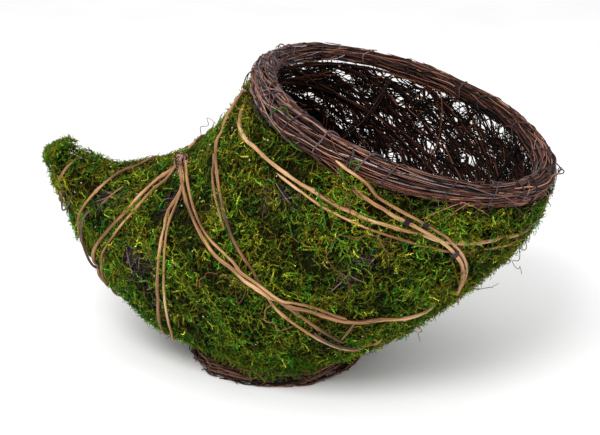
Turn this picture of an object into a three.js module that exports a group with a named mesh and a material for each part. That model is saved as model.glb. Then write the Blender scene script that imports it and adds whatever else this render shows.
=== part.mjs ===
// Moss-covered twig horn basket (cornucopia) standing on a twig foot ring.
// Millimetres, +Z up. The horn lies along X, mouth toward +X and tail toward -X, and its front faces -Y.
//
// A place on the horn is [station, angle, depth or lift]: station runs along the centreline from the
// mouth, angle is in degrees around it (0 underside, 90 front, 180 top, 270 back), and depth and lift
// are measured inward and outward from the moss's outer surface.
import * as THREE from 'three';
import { mergeVertices } from 'three/addons/utils/BufferGeometryUtils.js';

const { degToRad, radToDeg } = THREE.MathUtils;
const FULL_TURN = 360;

// ---- Driving dimensions ----------------------------------------------------------------------------
// The horn is a round tube of falling girth, bent along one circular arc in the X-Z plane.
const BEND_RADIUS = 212;
const BEND_CENTRE_X = -73; // from the foot ring's axis
const BEND_CENTRE_HEIGHT = 326;
const SPINE_LENGTH = 466; // along the centreline, from the mouth plane to the tail's tip
const MOUTH_HEADING = 252; // degrees from +X toward +Z, the centreline's direction into the mouth
const MOUTH_RADIUS = 152; // outer radius of the moss at the mouth
const TIP_RADIUS = 11; // outer radius of the moss at the tail's blunt tip
const TAPER_START_POWER = 1.44; // a higher power keeps the girth full for longer
const TAPER_POWER = 1.32; // a higher power slims the tail sooner
const BELLY_HEIGHT = 25; // the underside is pressed flat at this height, where it sits on the foot
const BELLY_BLEND = 14; // width of the soft edge between the flat underside and the round girth

// Layers of the horn, outside to inside.
const MOSS_THICKNESS = 12;
const WICKER_THICKNESS = 3;
const HOOP_RADIUS = 2;
const RIB_RADIUS = 2.5;
const LAYER_GAP = 0.8;
const FACET_SAG = 3; // how far the middle of a wall facet lies inside the true round
const MOSS_SEAM = 1.2; // between neighbouring moss panels
const WALL_DROP = 14; // from the mouth plane down to the wicker's and the moss's edge, below the rim
const BAND_ENDS = [120, 225, 320, 400]; // stations where one band of moss ends and the next starts
const BAND_SECTORS = [
  [330, 30, 90, 210],
  [315, 45, 180],
  [0, 180],
  [90, 270],
]; // angles where each band's panels start
const BAND_STEPS = 4; // facets of a band along the horn
const ANGLE_STEP = 15; // degrees per facet around the horn

// Rim: twig strands laid like a rope around a thin hoop, with lashings around the bundle.
const RIM_RING_RADIUS = 143.5;
const RIM_CORE_RADIUS = 1.6;
const RIM_STRANDS = 4;
const RIM_STRAND_RADIUS = 4.3;
const RIM_STRAND_ORBIT = 7; // from the bundle's centre to a strand's centre
const RIM_STRAND_TURNS = 5;
const RIM_LASHING_TURNS = [63, 77, 119, 143, 162, 200, 241, 262, 280, 302, 319, 340]; // degrees
const LASHING_RADIUS = 0.8;
const LASHING_LOOP_RADIUS = 12.9;

// Foot: two twig coils, one on the other, that the horn's belly sits on.
const FOOT_RING_RADIUS = 84;
const FOOT_COIL_RADIUS = 7;
const FOOT_COIL_HEIGHT = 12;
const FOOT_GAP = 0.4;

// Frame inside the wicker.
const HOOP_STATIONS = [70, 170, 275];
const RIB_COUNT = 5;
const RIB_FIRST_ANGLE = 36;
const RIB_END = 372;

// Binding vines: routes over the moss as [station, angle, lift], with no lift where a vine lies flat.
const VINE_RADIUS = 1.9;
const THIN_VINE_RADIUS = 1.5;
const VINE_LIFT = 3.2;
const CROSSING_LIFT = 8; // centre of a vine that passes over another
const VINES = {
  vine_tail_tip_band: [
    [424, 205], [431, 182], [434, 162], [435, 123], [432, 92], [427, 72],
    [420, 40], [416, 5], [414, -35], [416, -80], [420, -125],
  ],
  vine_tail_wrap: [
    [352, 240], [357, 212], [361, 190], [368, 172], [381, 160], [390, 133], [393, 98],
    [390, 76], [383, 58], [375, 40], [366, 15], [358, -15], [352, -45], [347, -72],
  ],
  vine_knot_tail_upper: [
    [301, 156], [322, 148], [337, 133], [343, 121], [351, 107], [359, 84], [361, 66], [357, 50],
    [347, 25], [335, -8], [325, -45], [317, -85], [309, -125], [300, -160], [295, -186],
  ],
  vine_knot_tail_lower: [
    [304, 148], [322, 139], [337, 118], [343, 107], [348, 92], [351, 76], [349, 60], [343, 43],
    [334, 22], [323, -10], [313, -45], [305, -85], [298, -125], [288, -160], [283, -184],
  ],
  vine_waist_rear: [
    [284, 147], [281, 135], [281, 125], [283, 113], [283, 89], [283, 77], [284, 58], [286, 34],
    [289, 10], [288, -20], [285, -60], [281, -100], [276, -140], [273, -172],
  ],
  vine_waist_front: [
    [272, 134], [276, 118], [275, 91], [275, 56], [279, 34],
    [283, 12], [282, -20], [277, -60], [272, -100], [266, -140], [262, -172],
  ],
  vine_belly_outer: [
    [277, 152], [268, 140], [241, 125], [224, 115], [204, 104], [188, 98],
    [176, 93, CROSSING_LIFT], [166, 88.5, CROSSING_LIFT], [154, 80, CROSSING_LIFT], [138, 72],
    [121, 58], [108, 51], [99, 43], [92, 38], [84, 26], [76, 10], [69, -10], [62, -35],
    [58, -60], [60, -85], [66, -110], [76, -135], [85, -160],
  ],
  vine_belly_inner: [
    [262, 143], [250, 136], [212, 112.5], [190, 103.5], [177, 97, CROSSING_LIFT],
    [164, 90.5, CROSSING_LIFT], [150, 80.7, CROSSING_LIFT], [136, 74], [122, 62],
  ],
  vine_valley_long: [
    [46, 160], [57, 163], [90, 163], [123, 162], [160, 160], [187, 152], [182, 140], [177, 123],
    [174, 110], [168, 100], [165, 93], [162, 86], [150, 74], [144, 62], [142, 49],
  ],
  vine_valley_short: [
    [194, 147], [192, 136], [187, 124], [183, 113],
  ],
  vine_foot_hook: [
    [163, 78], [158, 70], [152, 59], [147, 47], [142, 38], [134, 35], [125, 37],
  ],
  vine_shoulder_outer: [
    [62, 154], [80, 151], [93, 146], [88, 139], [74, 132], [62, 121], [52, 108], [47, 99],
    [41, 85], [37, 76], [34, 66], [33, 55], [30, 44], [27, 33], [25, 21], [23, 0],
    [23, -30], [26, -65], [31, -100], [38, -130], [46, -155],
  ],
  vine_shoulder_inner: [
    [66, 118], [59, 107], [56, 99], [51, 90], [43, 71], [40, 56], [36.5, 43], [32, 27], [31, 12],
  ],
  vine_rim_stem_outer: [
    [18.5, 93], [23, 89], [27, 80], [28.5, 70], [32, 58, CROSSING_LIFT], [41, 48, CROSSING_LIFT],
    [54, 39], [64, 34], [74, 29],
  ],
  vine_rim_stem_inner: [
    [18.5, 84], [21, 77], [24, 67], [27, 59, CROSSING_LIFT], [31, 51.5, CROSSING_LIFT],
    [38, 45, CROSSING_LIFT], [50, 36], [62, 27],
  ],
};
const THIN_VINES = ['vine_belly_inner', 'vine_valley_short', 'vine_shoulder_inner', 'vine_waist_front'];

// Loose root ends that stand off the moss, with their lifts.
const TENDRIL_RADIUS = 0.7;
const TENDRILS = {
  tendril_mouth_side: [[56, 26, 2], [52, 21, 9], [50, 15, 13], [47, 12, 20], [45, 7, 24]],
  tendril_mouth_drop: [[38, 20, 2], [44, 17, 8], [52, 16, 14], [60, 11, 16]],
  tendril_belly_drop: [[102, 34, 2], [106, 30, 8], [110, 29, 15]],
  tendril_waist_arc: [[276, 168, 2], [262, 172, 10], [235, 171, 12], [210, 167, 3]],
};

// Fibre knot where the vines meet on top of the waist.
const KNOT_PLACE = [291, 162, 8.5];
const KNOT_SIZE = [8.5, 7, 5.5]; // half-widths

// ---- The horn's own coordinates --------------------------------------------------------------------
function girth(station) {
  const along = THREE.MathUtils.clamp(station / SPINE_LENGTH, 0, 1);
  const fall = Math.cos((Math.PI / 2) * along ** TAPER_START_POWER);
  return MOUTH_RADIUS * Math.max(fall, 0) ** TAPER_POWER + TIP_RADIUS * along;
}

function headingAt(station) {
  return degToRad(MOUTH_HEADING) - station / BEND_RADIUS;
}

// The radius at which a ray from the centreline meets the flat underside's plane.
function bellyLimit(station, angle) {
  const down = -Math.cos(headingAt(station));
  const toward = Math.cos(degToRad(angle));
  if (down <= 0 || toward <= 0) return Infinity;
  return ((BEND_CENTRE_HEIGHT - BELLY_HEIGHT) / down - BEND_RADIUS) / toward;
}

function mossRadius(station, angle) {
  const round = girth(station);
  const flat = bellyLimit(station, angle);
  const overlap = Math.max(BELLY_BLEND - Math.abs(round - flat), 0);
  return Math.min(round, flat) - overlap ** 2 / (4 * BELLY_BLEND);
}

// The wall's edge lies parallel to the mouth, so its station is later on top, inside the bend, than below.
// Stations of the first band are stretched from that edge to the band's end.
function stationBelowMouth(station, angle) {
  const bandLength = BAND_ENDS[0] - WALL_DROP;
  const share = Math.max(BAND_ENDS[0] - station, 0) / bandLength;
  const fromBendCentre = BEND_RADIUS + MOUTH_RADIUS * Math.cos(degToRad(angle));
  const edge = BEND_RADIUS * Math.asin(WALL_DROP / fromBendCentre);
  return station + share * (edge - WALL_DROP);
}

function place(station, angle, radius) {
  const heading = headingAt(station);
  const around = degToRad(angle);
  const fromBendCentre = BEND_RADIUS + radius * Math.cos(around);
  return new THREE.Vector3(
    BEND_CENTRE_X - fromBendCentre * Math.sin(heading),
    -radius * Math.sin(around),
    BEND_CENTRE_HEIGHT + fromBendCentre * Math.cos(heading),
  );
}

// Turns a geometry drawn as (angle, station, -depth) into the bent horn's shape.
function wrapOntoHorn(geometry) {
  const corners = geometry.getAttribute('position');
  for (let i = 0; i < corners.count; i += 1) {
    const angle = corners.getX(i);
    const station = stationBelowMouth(corners.getY(i), angle);
    const spot = place(station, angle, mossRadius(station, angle) + corners.getZ(i));
    corners.setXYZ(i, spot.x, spot.y, spot.z);
  }
  geometry.deleteAttribute('normal');
  geometry.deleteAttribute('uv');
  const solid = mergeVertices(geometry, 1e-4);
  solid.computeVertexNormals();
  return solid;
}

// ---- Curves and tubes ------------------------------------------------------------------------------
// A route over the moss through hand-placed points.
class HornRoute extends THREE.Curve {
  constructor(route) {
    super();
    const points = route.map(([station, angle, lift = VINE_LIFT]) => new THREE.Vector3(station, angle, lift));
    this.guide = new THREE.CatmullRomCurve3(points);
  }

  getPoint(t) {
    const { x: station, y: angle, z: lift } = this.guide.getPoint(t);
    return place(station, angle, mossRadius(station, angle) + lift);
  }
}

// One lap of a strand that turns around the rim's hoop, in the mouth's own frame.
class RimStrandLap extends THREE.Curve {
  constructor(phase, endGap) {
    super();
    this.phase = phase;
    this.endGap = endGap;
  }

  getPoint(t) {
    const lap = this.endGap + t * (2 * Math.PI - 2 * this.endGap);
    const turn = this.phase + lap * RIM_STRAND_TURNS;
    const reach = RIM_RING_RADIUS + RIM_STRAND_ORBIT * Math.cos(turn);
    const rise = RIM_STRAND_ORBIT * Math.sin(turn);
    return new THREE.Vector3(reach * Math.cos(lap), reach * Math.sin(lap), rise);
  }
}

function roundSection(radius, sides) {
  const corners = [];
  for (let i = 0; i < sides; i += 1) {
    const turn = (2 * Math.PI * i) / sides;
    corners.push(new THREE.Vector2(radius * Math.cos(turn), radius * Math.sin(turn)));
  }
  return new THREE.Shape(corners);
}

function tube(curve, radius, stepLength, sides = 5) {
  const steps = Math.max(Math.ceil(curve.getLength() / stepLength), 4);
  const options = { steps, extrudePath: curve, bevelEnabled: false };
  return new THREE.ExtrudeGeometry(roundSection(radius, sides), options);
}

// ---- Materials -------------------------------------------------------------------------------------
function matte(color) {
  return new THREE.MeshStandardMaterial({ color, roughness: 0.9, metalness: 0 });
}

const COLOURS = {
  rimTwig: 0x5b443a,
  wicker: 0x33251f,
  footTwig: 0x3c2c27,
  frameTwig: 0x2a1e19,
  lashing: 0x2f2826,
  vine: 0xa87a4b,
  tendril: 0x8d6a52,
  knot: 0x7a6446,
  moss: [0x5c7421, 0x4f6a1c, 0x6a7d2a, 0x466021],
};

function part(name, geometry, color) {
  const mesh = new THREE.Mesh(geometry, matte(color));
  mesh.name = name;
  return mesh;
}

// ---- Parts -----------------------------------------------------------------------------------------
// Even steps from one station to another.
function stationsBetween(start, end) {
  return Array.from({ length: BAND_STEPS + 1 }, (_, i) => start + ((end - start) * i) / BAND_STEPS);
}

function bandStart(band) {
  return band === 0 ? WALL_DROP : BAND_ENDS[band - 1] + MOSS_SEAM;
}

function mossPanel(band, index) {
  const sectors = BAND_SECTORS[band];
  const start = bandStart(band);
  const length = BAND_ENDS[band] - start;
  const from = sectors[index];
  const span = (sectors[(index + 1) % sectors.length] - from + FULL_TURN) % FULL_TURN;
  const seam = radToDeg(MOSS_SEAM / girth(start));
  const block = new THREE.BoxGeometry(span - seam, length, MOSS_THICKNESS, span / ANGLE_STEP, BAND_STEPS, 1);
  block.translate(from + span / 2, start + length / 2, -MOSS_THICKNESS / 2);
  return wrapOntoHorn(block);
}

function mossPanels() {
  const names = [
    ['mouth_underside', 'mouth_front', 'mouth_top', 'mouth_back'],
    ['belly_underside', 'belly_front', 'belly_back'],
    ['waist_front', 'waist_back'],
    ['tail_top', 'tail_underside'],
  ];
  return names.flatMap((row, band) => row.map((name, index) => {
    const shade = COLOURS.moss[(band + index) % COLOURS.moss.length];
    return part(`moss_${name}`, mossPanel(band, index), shade);
  }));
}

// The solid plug of moss that closes the tail.
function mossTip() {
  const start = BAND_ENDS.at(-1) + MOSS_SEAM;
  const stations = stationsBetween(start, SPINE_LENGTH);
  const outline = stations.map((station) => new THREE.Vector2(girth(station), station));
  outline.unshift(new THREE.Vector2(0, start));
  outline.push(new THREE.Vector2(0, SPINE_LENGTH));
  return part('moss_tail_tip', wrapLathe(outline), COLOURS.moss[2]);
}

// Spins an outline of (radius, station) points around the centreline, then bends it with the horn.
function wrapLathe(outline) {
  const lathe = new THREE.LatheGeometry(outline, FULL_TURN / ANGLE_STEP);
  const corners = lathe.getAttribute('position');
  for (let i = 0; i < corners.count; i += 1) {
    const station = corners.getY(i);
    const radius = Math.hypot(corners.getX(i), corners.getZ(i));
    const angle = radius < 1e-6 ? 0 : radToDeg(Math.atan2(corners.getX(i), corners.getZ(i)));
    corners.setXYZ(i, angle, station, radius - girth(station));
  }
  return wrapOntoHorn(lathe);
}

// The wicker shell inside the moss, open at the mouth.
function wickerWall() {
  const stations = BAND_ENDS.flatMap((end, band) => stationsBetween(bandStart(band), end));
  const outerDepth = MOSS_THICKNESS + LAYER_GAP;
  const innerDepth = outerDepth + WICKER_THICKNESS;
  const outer = stations.map((station) => new THREE.Vector2(girth(station) - outerDepth, station));
  const inner = stations.map((station) => new THREE.Vector2(girth(station) - innerDepth, station));
  const outline = [...outer, ...inner.reverse()];
  outline.push(outline[0].clone());
  return part('wicker_wall', wrapLathe(outline), COLOURS.wicker);
}

const HOOP_DEPTH = MOSS_THICKNESS + WICKER_THICKNESS + 2 * LAYER_GAP + FACET_SAG + HOOP_RADIUS;
const RIB_DEPTH = HOOP_DEPTH + HOOP_RADIUS + 2 * LAYER_GAP + RIB_RADIUS;

function hoops() {
  return HOOP_STATIONS.map((station, i) => {
    const lap = [];
    for (let angle = 182; angle <= 538; angle += ANGLE_STEP) lap.push([station, angle, -HOOP_DEPTH]);
    return part(`body_hoop_${i + 1}`, tube(new HornRoute(lap), HOOP_RADIUS, 24, 4), COLOURS.frameTwig);
  });
}

function ribs() {
  const made = [];
  for (let i = 0; i < RIB_COUNT; i += 1) {
    const angle = RIB_FIRST_ANGLE + (FULL_TURN * i) / RIB_COUNT;
    const route = stationsBetween(WALL_DROP, RIB_END).map((station) => [station, angle, -RIB_DEPTH]);
    made.push(part(`rib_${i + 1}`, tube(new HornRoute(route), RIB_RADIUS, 30), COLOURS.frameTwig));
  }
  return made;
}

// The rim is drawn in the mouth's own frame: centre at the origin, outward normal along +Z.
function rim() {
  const mouth = new THREE.Group();
  mouth.position.copy(place(0, 0, 0));
  mouth.rotation.y = degToRad(270 - MOUTH_HEADING);
  const core = new THREE.TorusGeometry(RIM_RING_RADIUS, RIM_CORE_RADIUS, 4, 36);
  mouth.add(part('rim_core_hoop', core, COLOURS.frameTwig));
  for (let i = 0; i < RIM_STRANDS; i += 1) {
    const phase = (2 * Math.PI * i) / RIM_STRANDS;
    const strand = tube(new RimStrandLap(phase, degToRad(0.4)), RIM_STRAND_RADIUS, 18);
    mouth.add(part(`rim_strand_${i + 1}`, strand, COLOURS.rimTwig));
  }
  for (let i = 0; i < RIM_LASHING_TURNS.length; i += 1) {
    const turn = degToRad(RIM_LASHING_TURNS[i]);
    const loop = new THREE.TorusGeometry(LASHING_LOOP_RADIUS, LASHING_RADIUS, 4, 10);
    loop.rotateX(Math.PI / 2);
    const lashing = part(`rim_lashing_${i + 1}`, loop, COLOURS.lashing);
    lashing.position.set(RIM_RING_RADIUS * Math.cos(turn), RIM_RING_RADIUS * Math.sin(turn), 0);
    lashing.rotation.z = turn;
    mouth.add(lashing);
  }
  return mouth;
}

// A coil's section is a circle cut flat above and below, so that it stands firmly.
function footCoil(name, base) {
  const cut = Math.asin(FOOT_COIL_HEIGHT / 2 / FOOT_COIL_RADIUS);
  const outline = [];
  for (const side of [0, Math.PI]) {
    for (let i = 0; i <= 3; i += 1) {
      const turn = side - cut + (2 * cut * i) / 3;
      const height = base + FOOT_COIL_HEIGHT / 2 + FOOT_COIL_RADIUS * Math.sin(turn);
      outline.push(new THREE.Vector2(FOOT_RING_RADIUS + FOOT_COIL_RADIUS * Math.cos(turn), height));
    }
  }
  outline.push(outline[0].clone());
  const coil = new THREE.LatheGeometry(outline, 36);
  coil.rotateX(Math.PI / 2);
  return part(name, coil, COLOURS.footTwig);
}

function foot() {
  return [footCoil('foot_coil_lower', 0), footCoil('foot_coil_upper', FOOT_COIL_HEIGHT + FOOT_GAP)];
}

function vines() {
  return Object.entries(VINES).map(([name, route]) => {
    const radius = THIN_VINES.includes(name) ? THIN_VINE_RADIUS : VINE_RADIUS;
    return part(name, tube(new HornRoute(route), radius, 14), COLOURS.vine);
  });
}

function tendrils() {
  return Object.entries(TENDRILS).map(
    ([name, route]) => part(name, tube(new HornRoute(route), TENDRIL_RADIUS, 5, 4), COLOURS.tendril),
  );
}

function knot() {
  const [station, angle, lift] = KNOT_PLACE;
  const lump = part('fibre_knot', new THREE.IcosahedronGeometry(1, 1), COLOURS.knot);
  lump.scale.set(...KNOT_SIZE);
  lump.position.copy(place(station, angle, mossRadius(station, angle) + lift));
  return lump;
}

const horn = new THREE.Group();
horn.add(wickerWall(), ...hoops(), ...ribs(), ...mossPanels(), mossTip());
horn.add(rim(), ...vines(), ...tendrils(), knot(), ...foot());

// The origin is under the middle of the basket's length and width, on the ground.
const bounds = new THREE.Box3().setFromObject(horn, true);
const middle = bounds.getCenter(new THREE.Vector3());
horn.position.set(-middle.x, -middle.y, -bounds.min.z);

const basket = new THREE.Group();
basket.add(horn);

export default basket;
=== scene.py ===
"""Looks of the moss-covered twig horn basket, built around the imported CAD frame. Metres, +Z up."""

import math

import bpy
import numpy as np
from mathutils import Matrix, Vector


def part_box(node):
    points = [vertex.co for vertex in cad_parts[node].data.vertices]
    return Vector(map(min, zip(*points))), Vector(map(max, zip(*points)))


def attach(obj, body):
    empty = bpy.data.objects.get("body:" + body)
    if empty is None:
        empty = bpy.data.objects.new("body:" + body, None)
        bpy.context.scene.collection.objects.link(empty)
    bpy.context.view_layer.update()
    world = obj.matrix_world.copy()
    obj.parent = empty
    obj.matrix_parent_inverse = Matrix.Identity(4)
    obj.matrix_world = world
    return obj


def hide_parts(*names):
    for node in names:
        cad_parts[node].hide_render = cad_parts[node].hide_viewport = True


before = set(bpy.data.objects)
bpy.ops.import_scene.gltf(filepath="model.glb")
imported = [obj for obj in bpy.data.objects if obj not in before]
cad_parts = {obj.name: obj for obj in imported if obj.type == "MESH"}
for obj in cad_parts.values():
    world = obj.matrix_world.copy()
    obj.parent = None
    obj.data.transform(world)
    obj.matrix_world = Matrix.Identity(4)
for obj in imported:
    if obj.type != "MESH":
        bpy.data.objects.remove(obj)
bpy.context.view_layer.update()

# ---- The horn's shape, the same driving dimensions as the CAD ----------------------------------------
MM = 0.001
BEND_RADIUS = 212 * MM
BEND_CENTRE_X = -73 * MM  # from the foot ring's axis
BEND_CENTRE_HEIGHT = 326 * MM
SPINE_LENGTH = 466 * MM
MOUTH_HEADING = math.radians(252)
MOUTH_RADIUS = 152 * MM
TIP_RADIUS = 11 * MM
TAPER_START_POWER = 1.44
TAPER_POWER = 1.32
BELLY_HEIGHT = 25 * MM
BELLY_BLEND = 14 * MM
WALL_DROP = 14 * MM
BAND_ENDS = [120 * MM, 225 * MM, 320 * MM, 400 * MM]
BAND_SECTORS = [  # the moss panels of each band, and where each starts and ends around it, in degrees
    {
        "mouth_underside": (330, 390),
        "mouth_front": (30, 90),
        "mouth_top": (90, 210),
        "mouth_back": (210, 330),
    },
    {"belly_underside": (315, 405), "belly_front": (45, 180), "belly_back": (180, 315)},
    {"waist_front": (0, 180), "waist_back": (180, 360)},
    {"tail_top": (90, 270), "tail_underside": (270, 450)},
    {"tail_tip": (0, 360)},
]
RIM_RING_RADIUS = 143.5 * MM
RIM_BUNDLE_RADIUS = 11.0 * MM
FOOT_RING_RADIUS = 84 * MM
FOOT_COIL_HEIGHT = 12 * MM

# How far the moss lies under the CAD's skin, and over which stations that comes and goes again
TAIL_SETTLE = 3.5 * MM
TAIL_SETTLE_STATIONS = (335 * MM, 385 * MM, 405 * MM, 432 * MM)
SLOPE_SETTLE = 8 * MM
SLOPE_SETTLE_STATIONS = (35 * MM, 85 * MM, 125 * MM, 175 * MM)
SLOPE_SETTLE_POWER = 6  # keeps it close to the underside

_low, _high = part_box("foot_coil_lower")
FOOT_AXIS = np.array([(_low.x + _high.x) / 2, (_low.y + _high.y) / 2, 0.0])


def girth(s):
    along = np.clip(s / SPINE_LENGTH, 0, 1)
    fall = np.cos(np.pi / 2 * along**TAPER_START_POWER)
    body = MOUTH_RADIUS * np.maximum(fall, 0) ** TAPER_POWER + TIP_RADIUS * along
    beyond = np.clip((s - SPINE_LENGTH) / TIP_RADIUS, 0, 1)
    return body * np.sqrt(1 - beyond**2)


def heading_at(s):
    return MOUTH_HEADING - s / BEND_RADIUS


def belly_limit(s, a):
    down = -np.cos(heading_at(s))
    toward = np.cos(a)
    hit = (down > 0.05) & (toward > 0.05)
    reach = (BEND_CENTRE_HEIGHT - BELLY_HEIGHT) / np.where(hit, down, 1) - BEND_RADIUS
    return np.where(hit, reach / np.where(hit, toward, 1), 9.0)


def moss_radius(s, a):
    round_, flat = girth(s), belly_limit(s, a)
    overlap = np.maximum(BELLY_BLEND - np.abs(round_ - flat), 0)
    return np.minimum(round_, flat) - overlap**2 / (4 * BELLY_BLEND)


def mouth_edge(a):
    """The station of the wall's edge, which lies parallel to the mouth."""
    return BEND_RADIUS * np.arcsin(WALL_DROP / (BEND_RADIUS + MOUTH_RADIUS * np.cos(a)))


def below_mouth(s, a):
    share = np.maximum(BAND_ENDS[0] - s, 0) / (BAND_ENDS[0] - WALL_DROP)
    return s + share * (mouth_edge(a) - WALL_DROP)


def place(s, a, r):
    """The point at station s, angle a (radians, 0 underside, 90 degrees front) and radius r."""
    heading = heading_at(s)
    reach = BEND_RADIUS + r * np.cos(a)
    x = BEND_CENTRE_X - reach * np.sin(heading)
    z = BEND_CENTRE_HEIGHT + reach * np.cos(heading)
    return np.stack([x, -r * np.sin(a), z], -1) + FOOT_AXIS


def ease(value, start, end):
    """Zero up to the start and one past the end, with a smooth rise between."""
    share = np.clip((value - start) / (end - start), 0, 1)
    return share * share * (3 - 2 * share)


def plateau(value, rise_start, rise_end, fall_start, fall_end):
    """One in the middle and zero on both sides, with smooth ends."""
    return ease(value, rise_start, rise_end) * (1 - ease(value, fall_start, fall_end))


def underside(a):
    """One on the underside, falling to zero on top."""
    return 0.5 + 0.5 * np.cos(a)


def settle(s, a):
    """How far the moss lies under the CAD's skin: below the tail, and below the slope up to the mouth."""
    tail = TAIL_SETTLE * plateau(s, *TAIL_SETTLE_STATIONS) * underside(a)
    slope = SLOPE_SETTLE * plateau(s, *SLOPE_SETTLE_STATIONS) * underside(a) ** SLOPE_SETTLE_POWER
    return tail + slope


def on_horn(s, a, lift):
    return place(s, a, moss_radius(s, a) - settle(s, a) + lift)


def outward(s, a):
    """The direction straight away from the centreline."""
    heading = heading_at(s)
    return np.stack([-np.cos(a) * np.sin(heading), -np.sin(a), np.cos(a) * np.cos(heading)], -1)


# ---- Randomness --------------------------------------------------------------------------------------
def column(rng, low, high, n):
    """An even random number for each of n rows, as a column."""
    return rng.uniform(low, high, n)[:, None]


def steps(n):
    """Even steps from zero to one."""
    return np.linspace(0, 1, n)


def wave_field(seed, wavelength, waves=24):
    """A smooth random field over space, about -1 to 1, as a function of points."""
    rng = np.random.default_rng(seed)
    way = rng.normal(size=(waves, 3))
    way /= np.linalg.norm(way, axis=1)[:, None]
    way *= (2 * np.pi / (wavelength * rng.uniform(0.7, 1.5, waves)))[:, None]
    phase = rng.uniform(0, 2 * np.pi, waves)
    return lambda p: np.sin(p @ way.T + phase).sum(-1) * (1.5 / math.sqrt(waves)) / 1.4


LUMPS = wave_field(11, 60 * MM)
SMALL_LUMPS = wave_field(12, 22 * MM)
PATCHES = wave_field(13, 55 * MM)
GAPS = wave_field(14, 34 * MM)


# ---- Meshes ------------------------------------------------------------------------------------------
def unit(v):
    return v / np.maximum(np.linalg.norm(v, axis=-1, keepdims=True), 1e-12)


def tube_rings(paths, radii, ups, sides, flatness=1.0):
    """Rings of corners (n, k, sides, 3) around paths (n, k, 3)."""
    along = unit(np.gradient(paths, axis=1))
    across = unit(np.cross(ups, along))
    rise = np.cross(along, across) * flatness
    turn = np.arange(sides) * 2 * np.pi / sides
    ring = np.cos(turn)[:, None] * across[:, :, None] + np.sin(turn)[:, None] * rise[:, :, None]
    return paths[:, :, None] + radii[:, :, None, None] * ring


def tube_faces(n, k, sides):
    """Quads along each tube and a flat cap at each end, as lists of corner numbers."""
    tube, step, side = np.meshgrid(np.arange(n), np.arange(k - 1), np.arange(sides), indexing="ij")
    first = tube * k * sides + step * sides
    nxt = (side + 1) % sides
    quads = np.stack([first + side, first + nxt, first + sides + nxt, first + sides + side], -1)
    ends = np.arange(n)[:, None] * k * sides
    start_caps = ends + np.arange(sides)[::-1]
    end_caps = ends + (k - 1) * sides + np.arange(sides)
    return quads.reshape(-1, 4), np.concatenate([start_caps, end_caps])


GRAIN_SCALE = 60.0  # of the bark's pattern along a twig, per metre
GRAIN_SHIFT = 97.0  # sets the patterns of twigs with different shades apart


class Batch:
    """Closed solids gathered into one mesh, with a value or vector per corner for the materials."""

    def __init__(self):
        self.corners, self.faces, self.values, self.count = [], [], {}, 0

    def add(self, corners, face_lists, **values):
        corners = corners.reshape(-1, 3)
        for faces in face_lists:
            self.faces.append(faces + self.count)
        self.corners.append(corners)
        for name, value in values.items():
            self.values.setdefault(name, []).append(value)
        self.count += len(corners)

    def add_tubes(self, paths, radii, ups, sides, shade, flatness=1.0, hue=None):
        """Adds a tube along each path, with corners on its ups' side and a shade for each or along it."""
        n, k = paths.shape[:2]
        rings = tube_rings(paths, radii, ups, sides, flatness)
        length = np.linalg.norm(np.diff(paths, axis=1), axis=-1).cumsum(1)
        length = np.concatenate([np.zeros((n, 1)), length], 1)
        turn = np.arange(sides) * 2 * np.pi / sides
        grain = np.zeros((n, k, sides, 3))
        grain[..., 0] = np.cos(turn)
        grain[..., 1] = np.sin(turn)
        start = np.asarray(shade).reshape(n, -1)[:, :1] * GRAIN_SHIFT
        grain[..., 2] = (length * GRAIN_SCALE + start)[:, :, None]
        shades = np.asarray(shade).reshape(n, -1, 1)
        shades = np.broadcast_to(shades, (n, k, sides)).ravel()
        tip = np.broadcast_to(steps(k)[None, :, None], (n, k, sides)).ravel()
        more = {} if hue is None else {"hue": np.repeat(hue, k * sides)}
        self.add(rings, tube_faces(n, k, sides), shade=shades, tip=tip, grain=grain.reshape(-1, 3), **more)

    def build(self, name, material, slot, replaced=()):
        corners = np.concatenate(self.corners)
        mesh = bpy.data.meshes.new(name)
        mesh.vertices.add(len(corners))
        mesh.vertices.foreach_set("co", corners.astype(np.float32).ravel())
        sizes = np.concatenate([np.full(len(f), f.shape[1]) for f in self.faces])
        mesh.loops.add(int(sizes.sum()))
        loops = np.concatenate([f.ravel() for f in self.faces])
        mesh.loops.foreach_set("vertex_index", loops.astype(np.int32))
        mesh.polygons.add(len(sizes))
        starts = np.concatenate([[0], sizes.cumsum()[:-1]])
        mesh.polygons.foreach_set("loop_start", starts.astype(np.int32))
        mesh.update()
        mesh.polygons.foreach_set("use_smooth", np.ones(len(sizes), bool))
        for key, parts in self.values.items():
            data = np.concatenate(parts)
            kind = "FLOAT" if data.ndim == 1 else "FLOAT_VECTOR"
            field = "value" if data.ndim == 1 else "vector"
            layer = mesh.attributes.new(key, kind, "POINT")
            layer.data.foreach_set(field, data.astype(np.float32).ravel())
        piece = bpy.data.objects.new(name, mesh)
        bpy.context.scene.collection.objects.link(piece)
        piece.data.materials.append(material)
        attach(piece, "root")
        if replaced:
            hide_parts(*replaced)
        return piece


# ---- Materials ---------------------------------------------------------------------------------------
def srgb(text):
    """A colour written as six hex digits, in linear light."""
    parts = [int(text[i : i + 2], 16) / 255 for i in (0, 2, 4)]
    return tuple(c / 12.92 if c <= 0.04045 else ((c + 0.055) / 1.055) ** 2.4 for c in parts)


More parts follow.
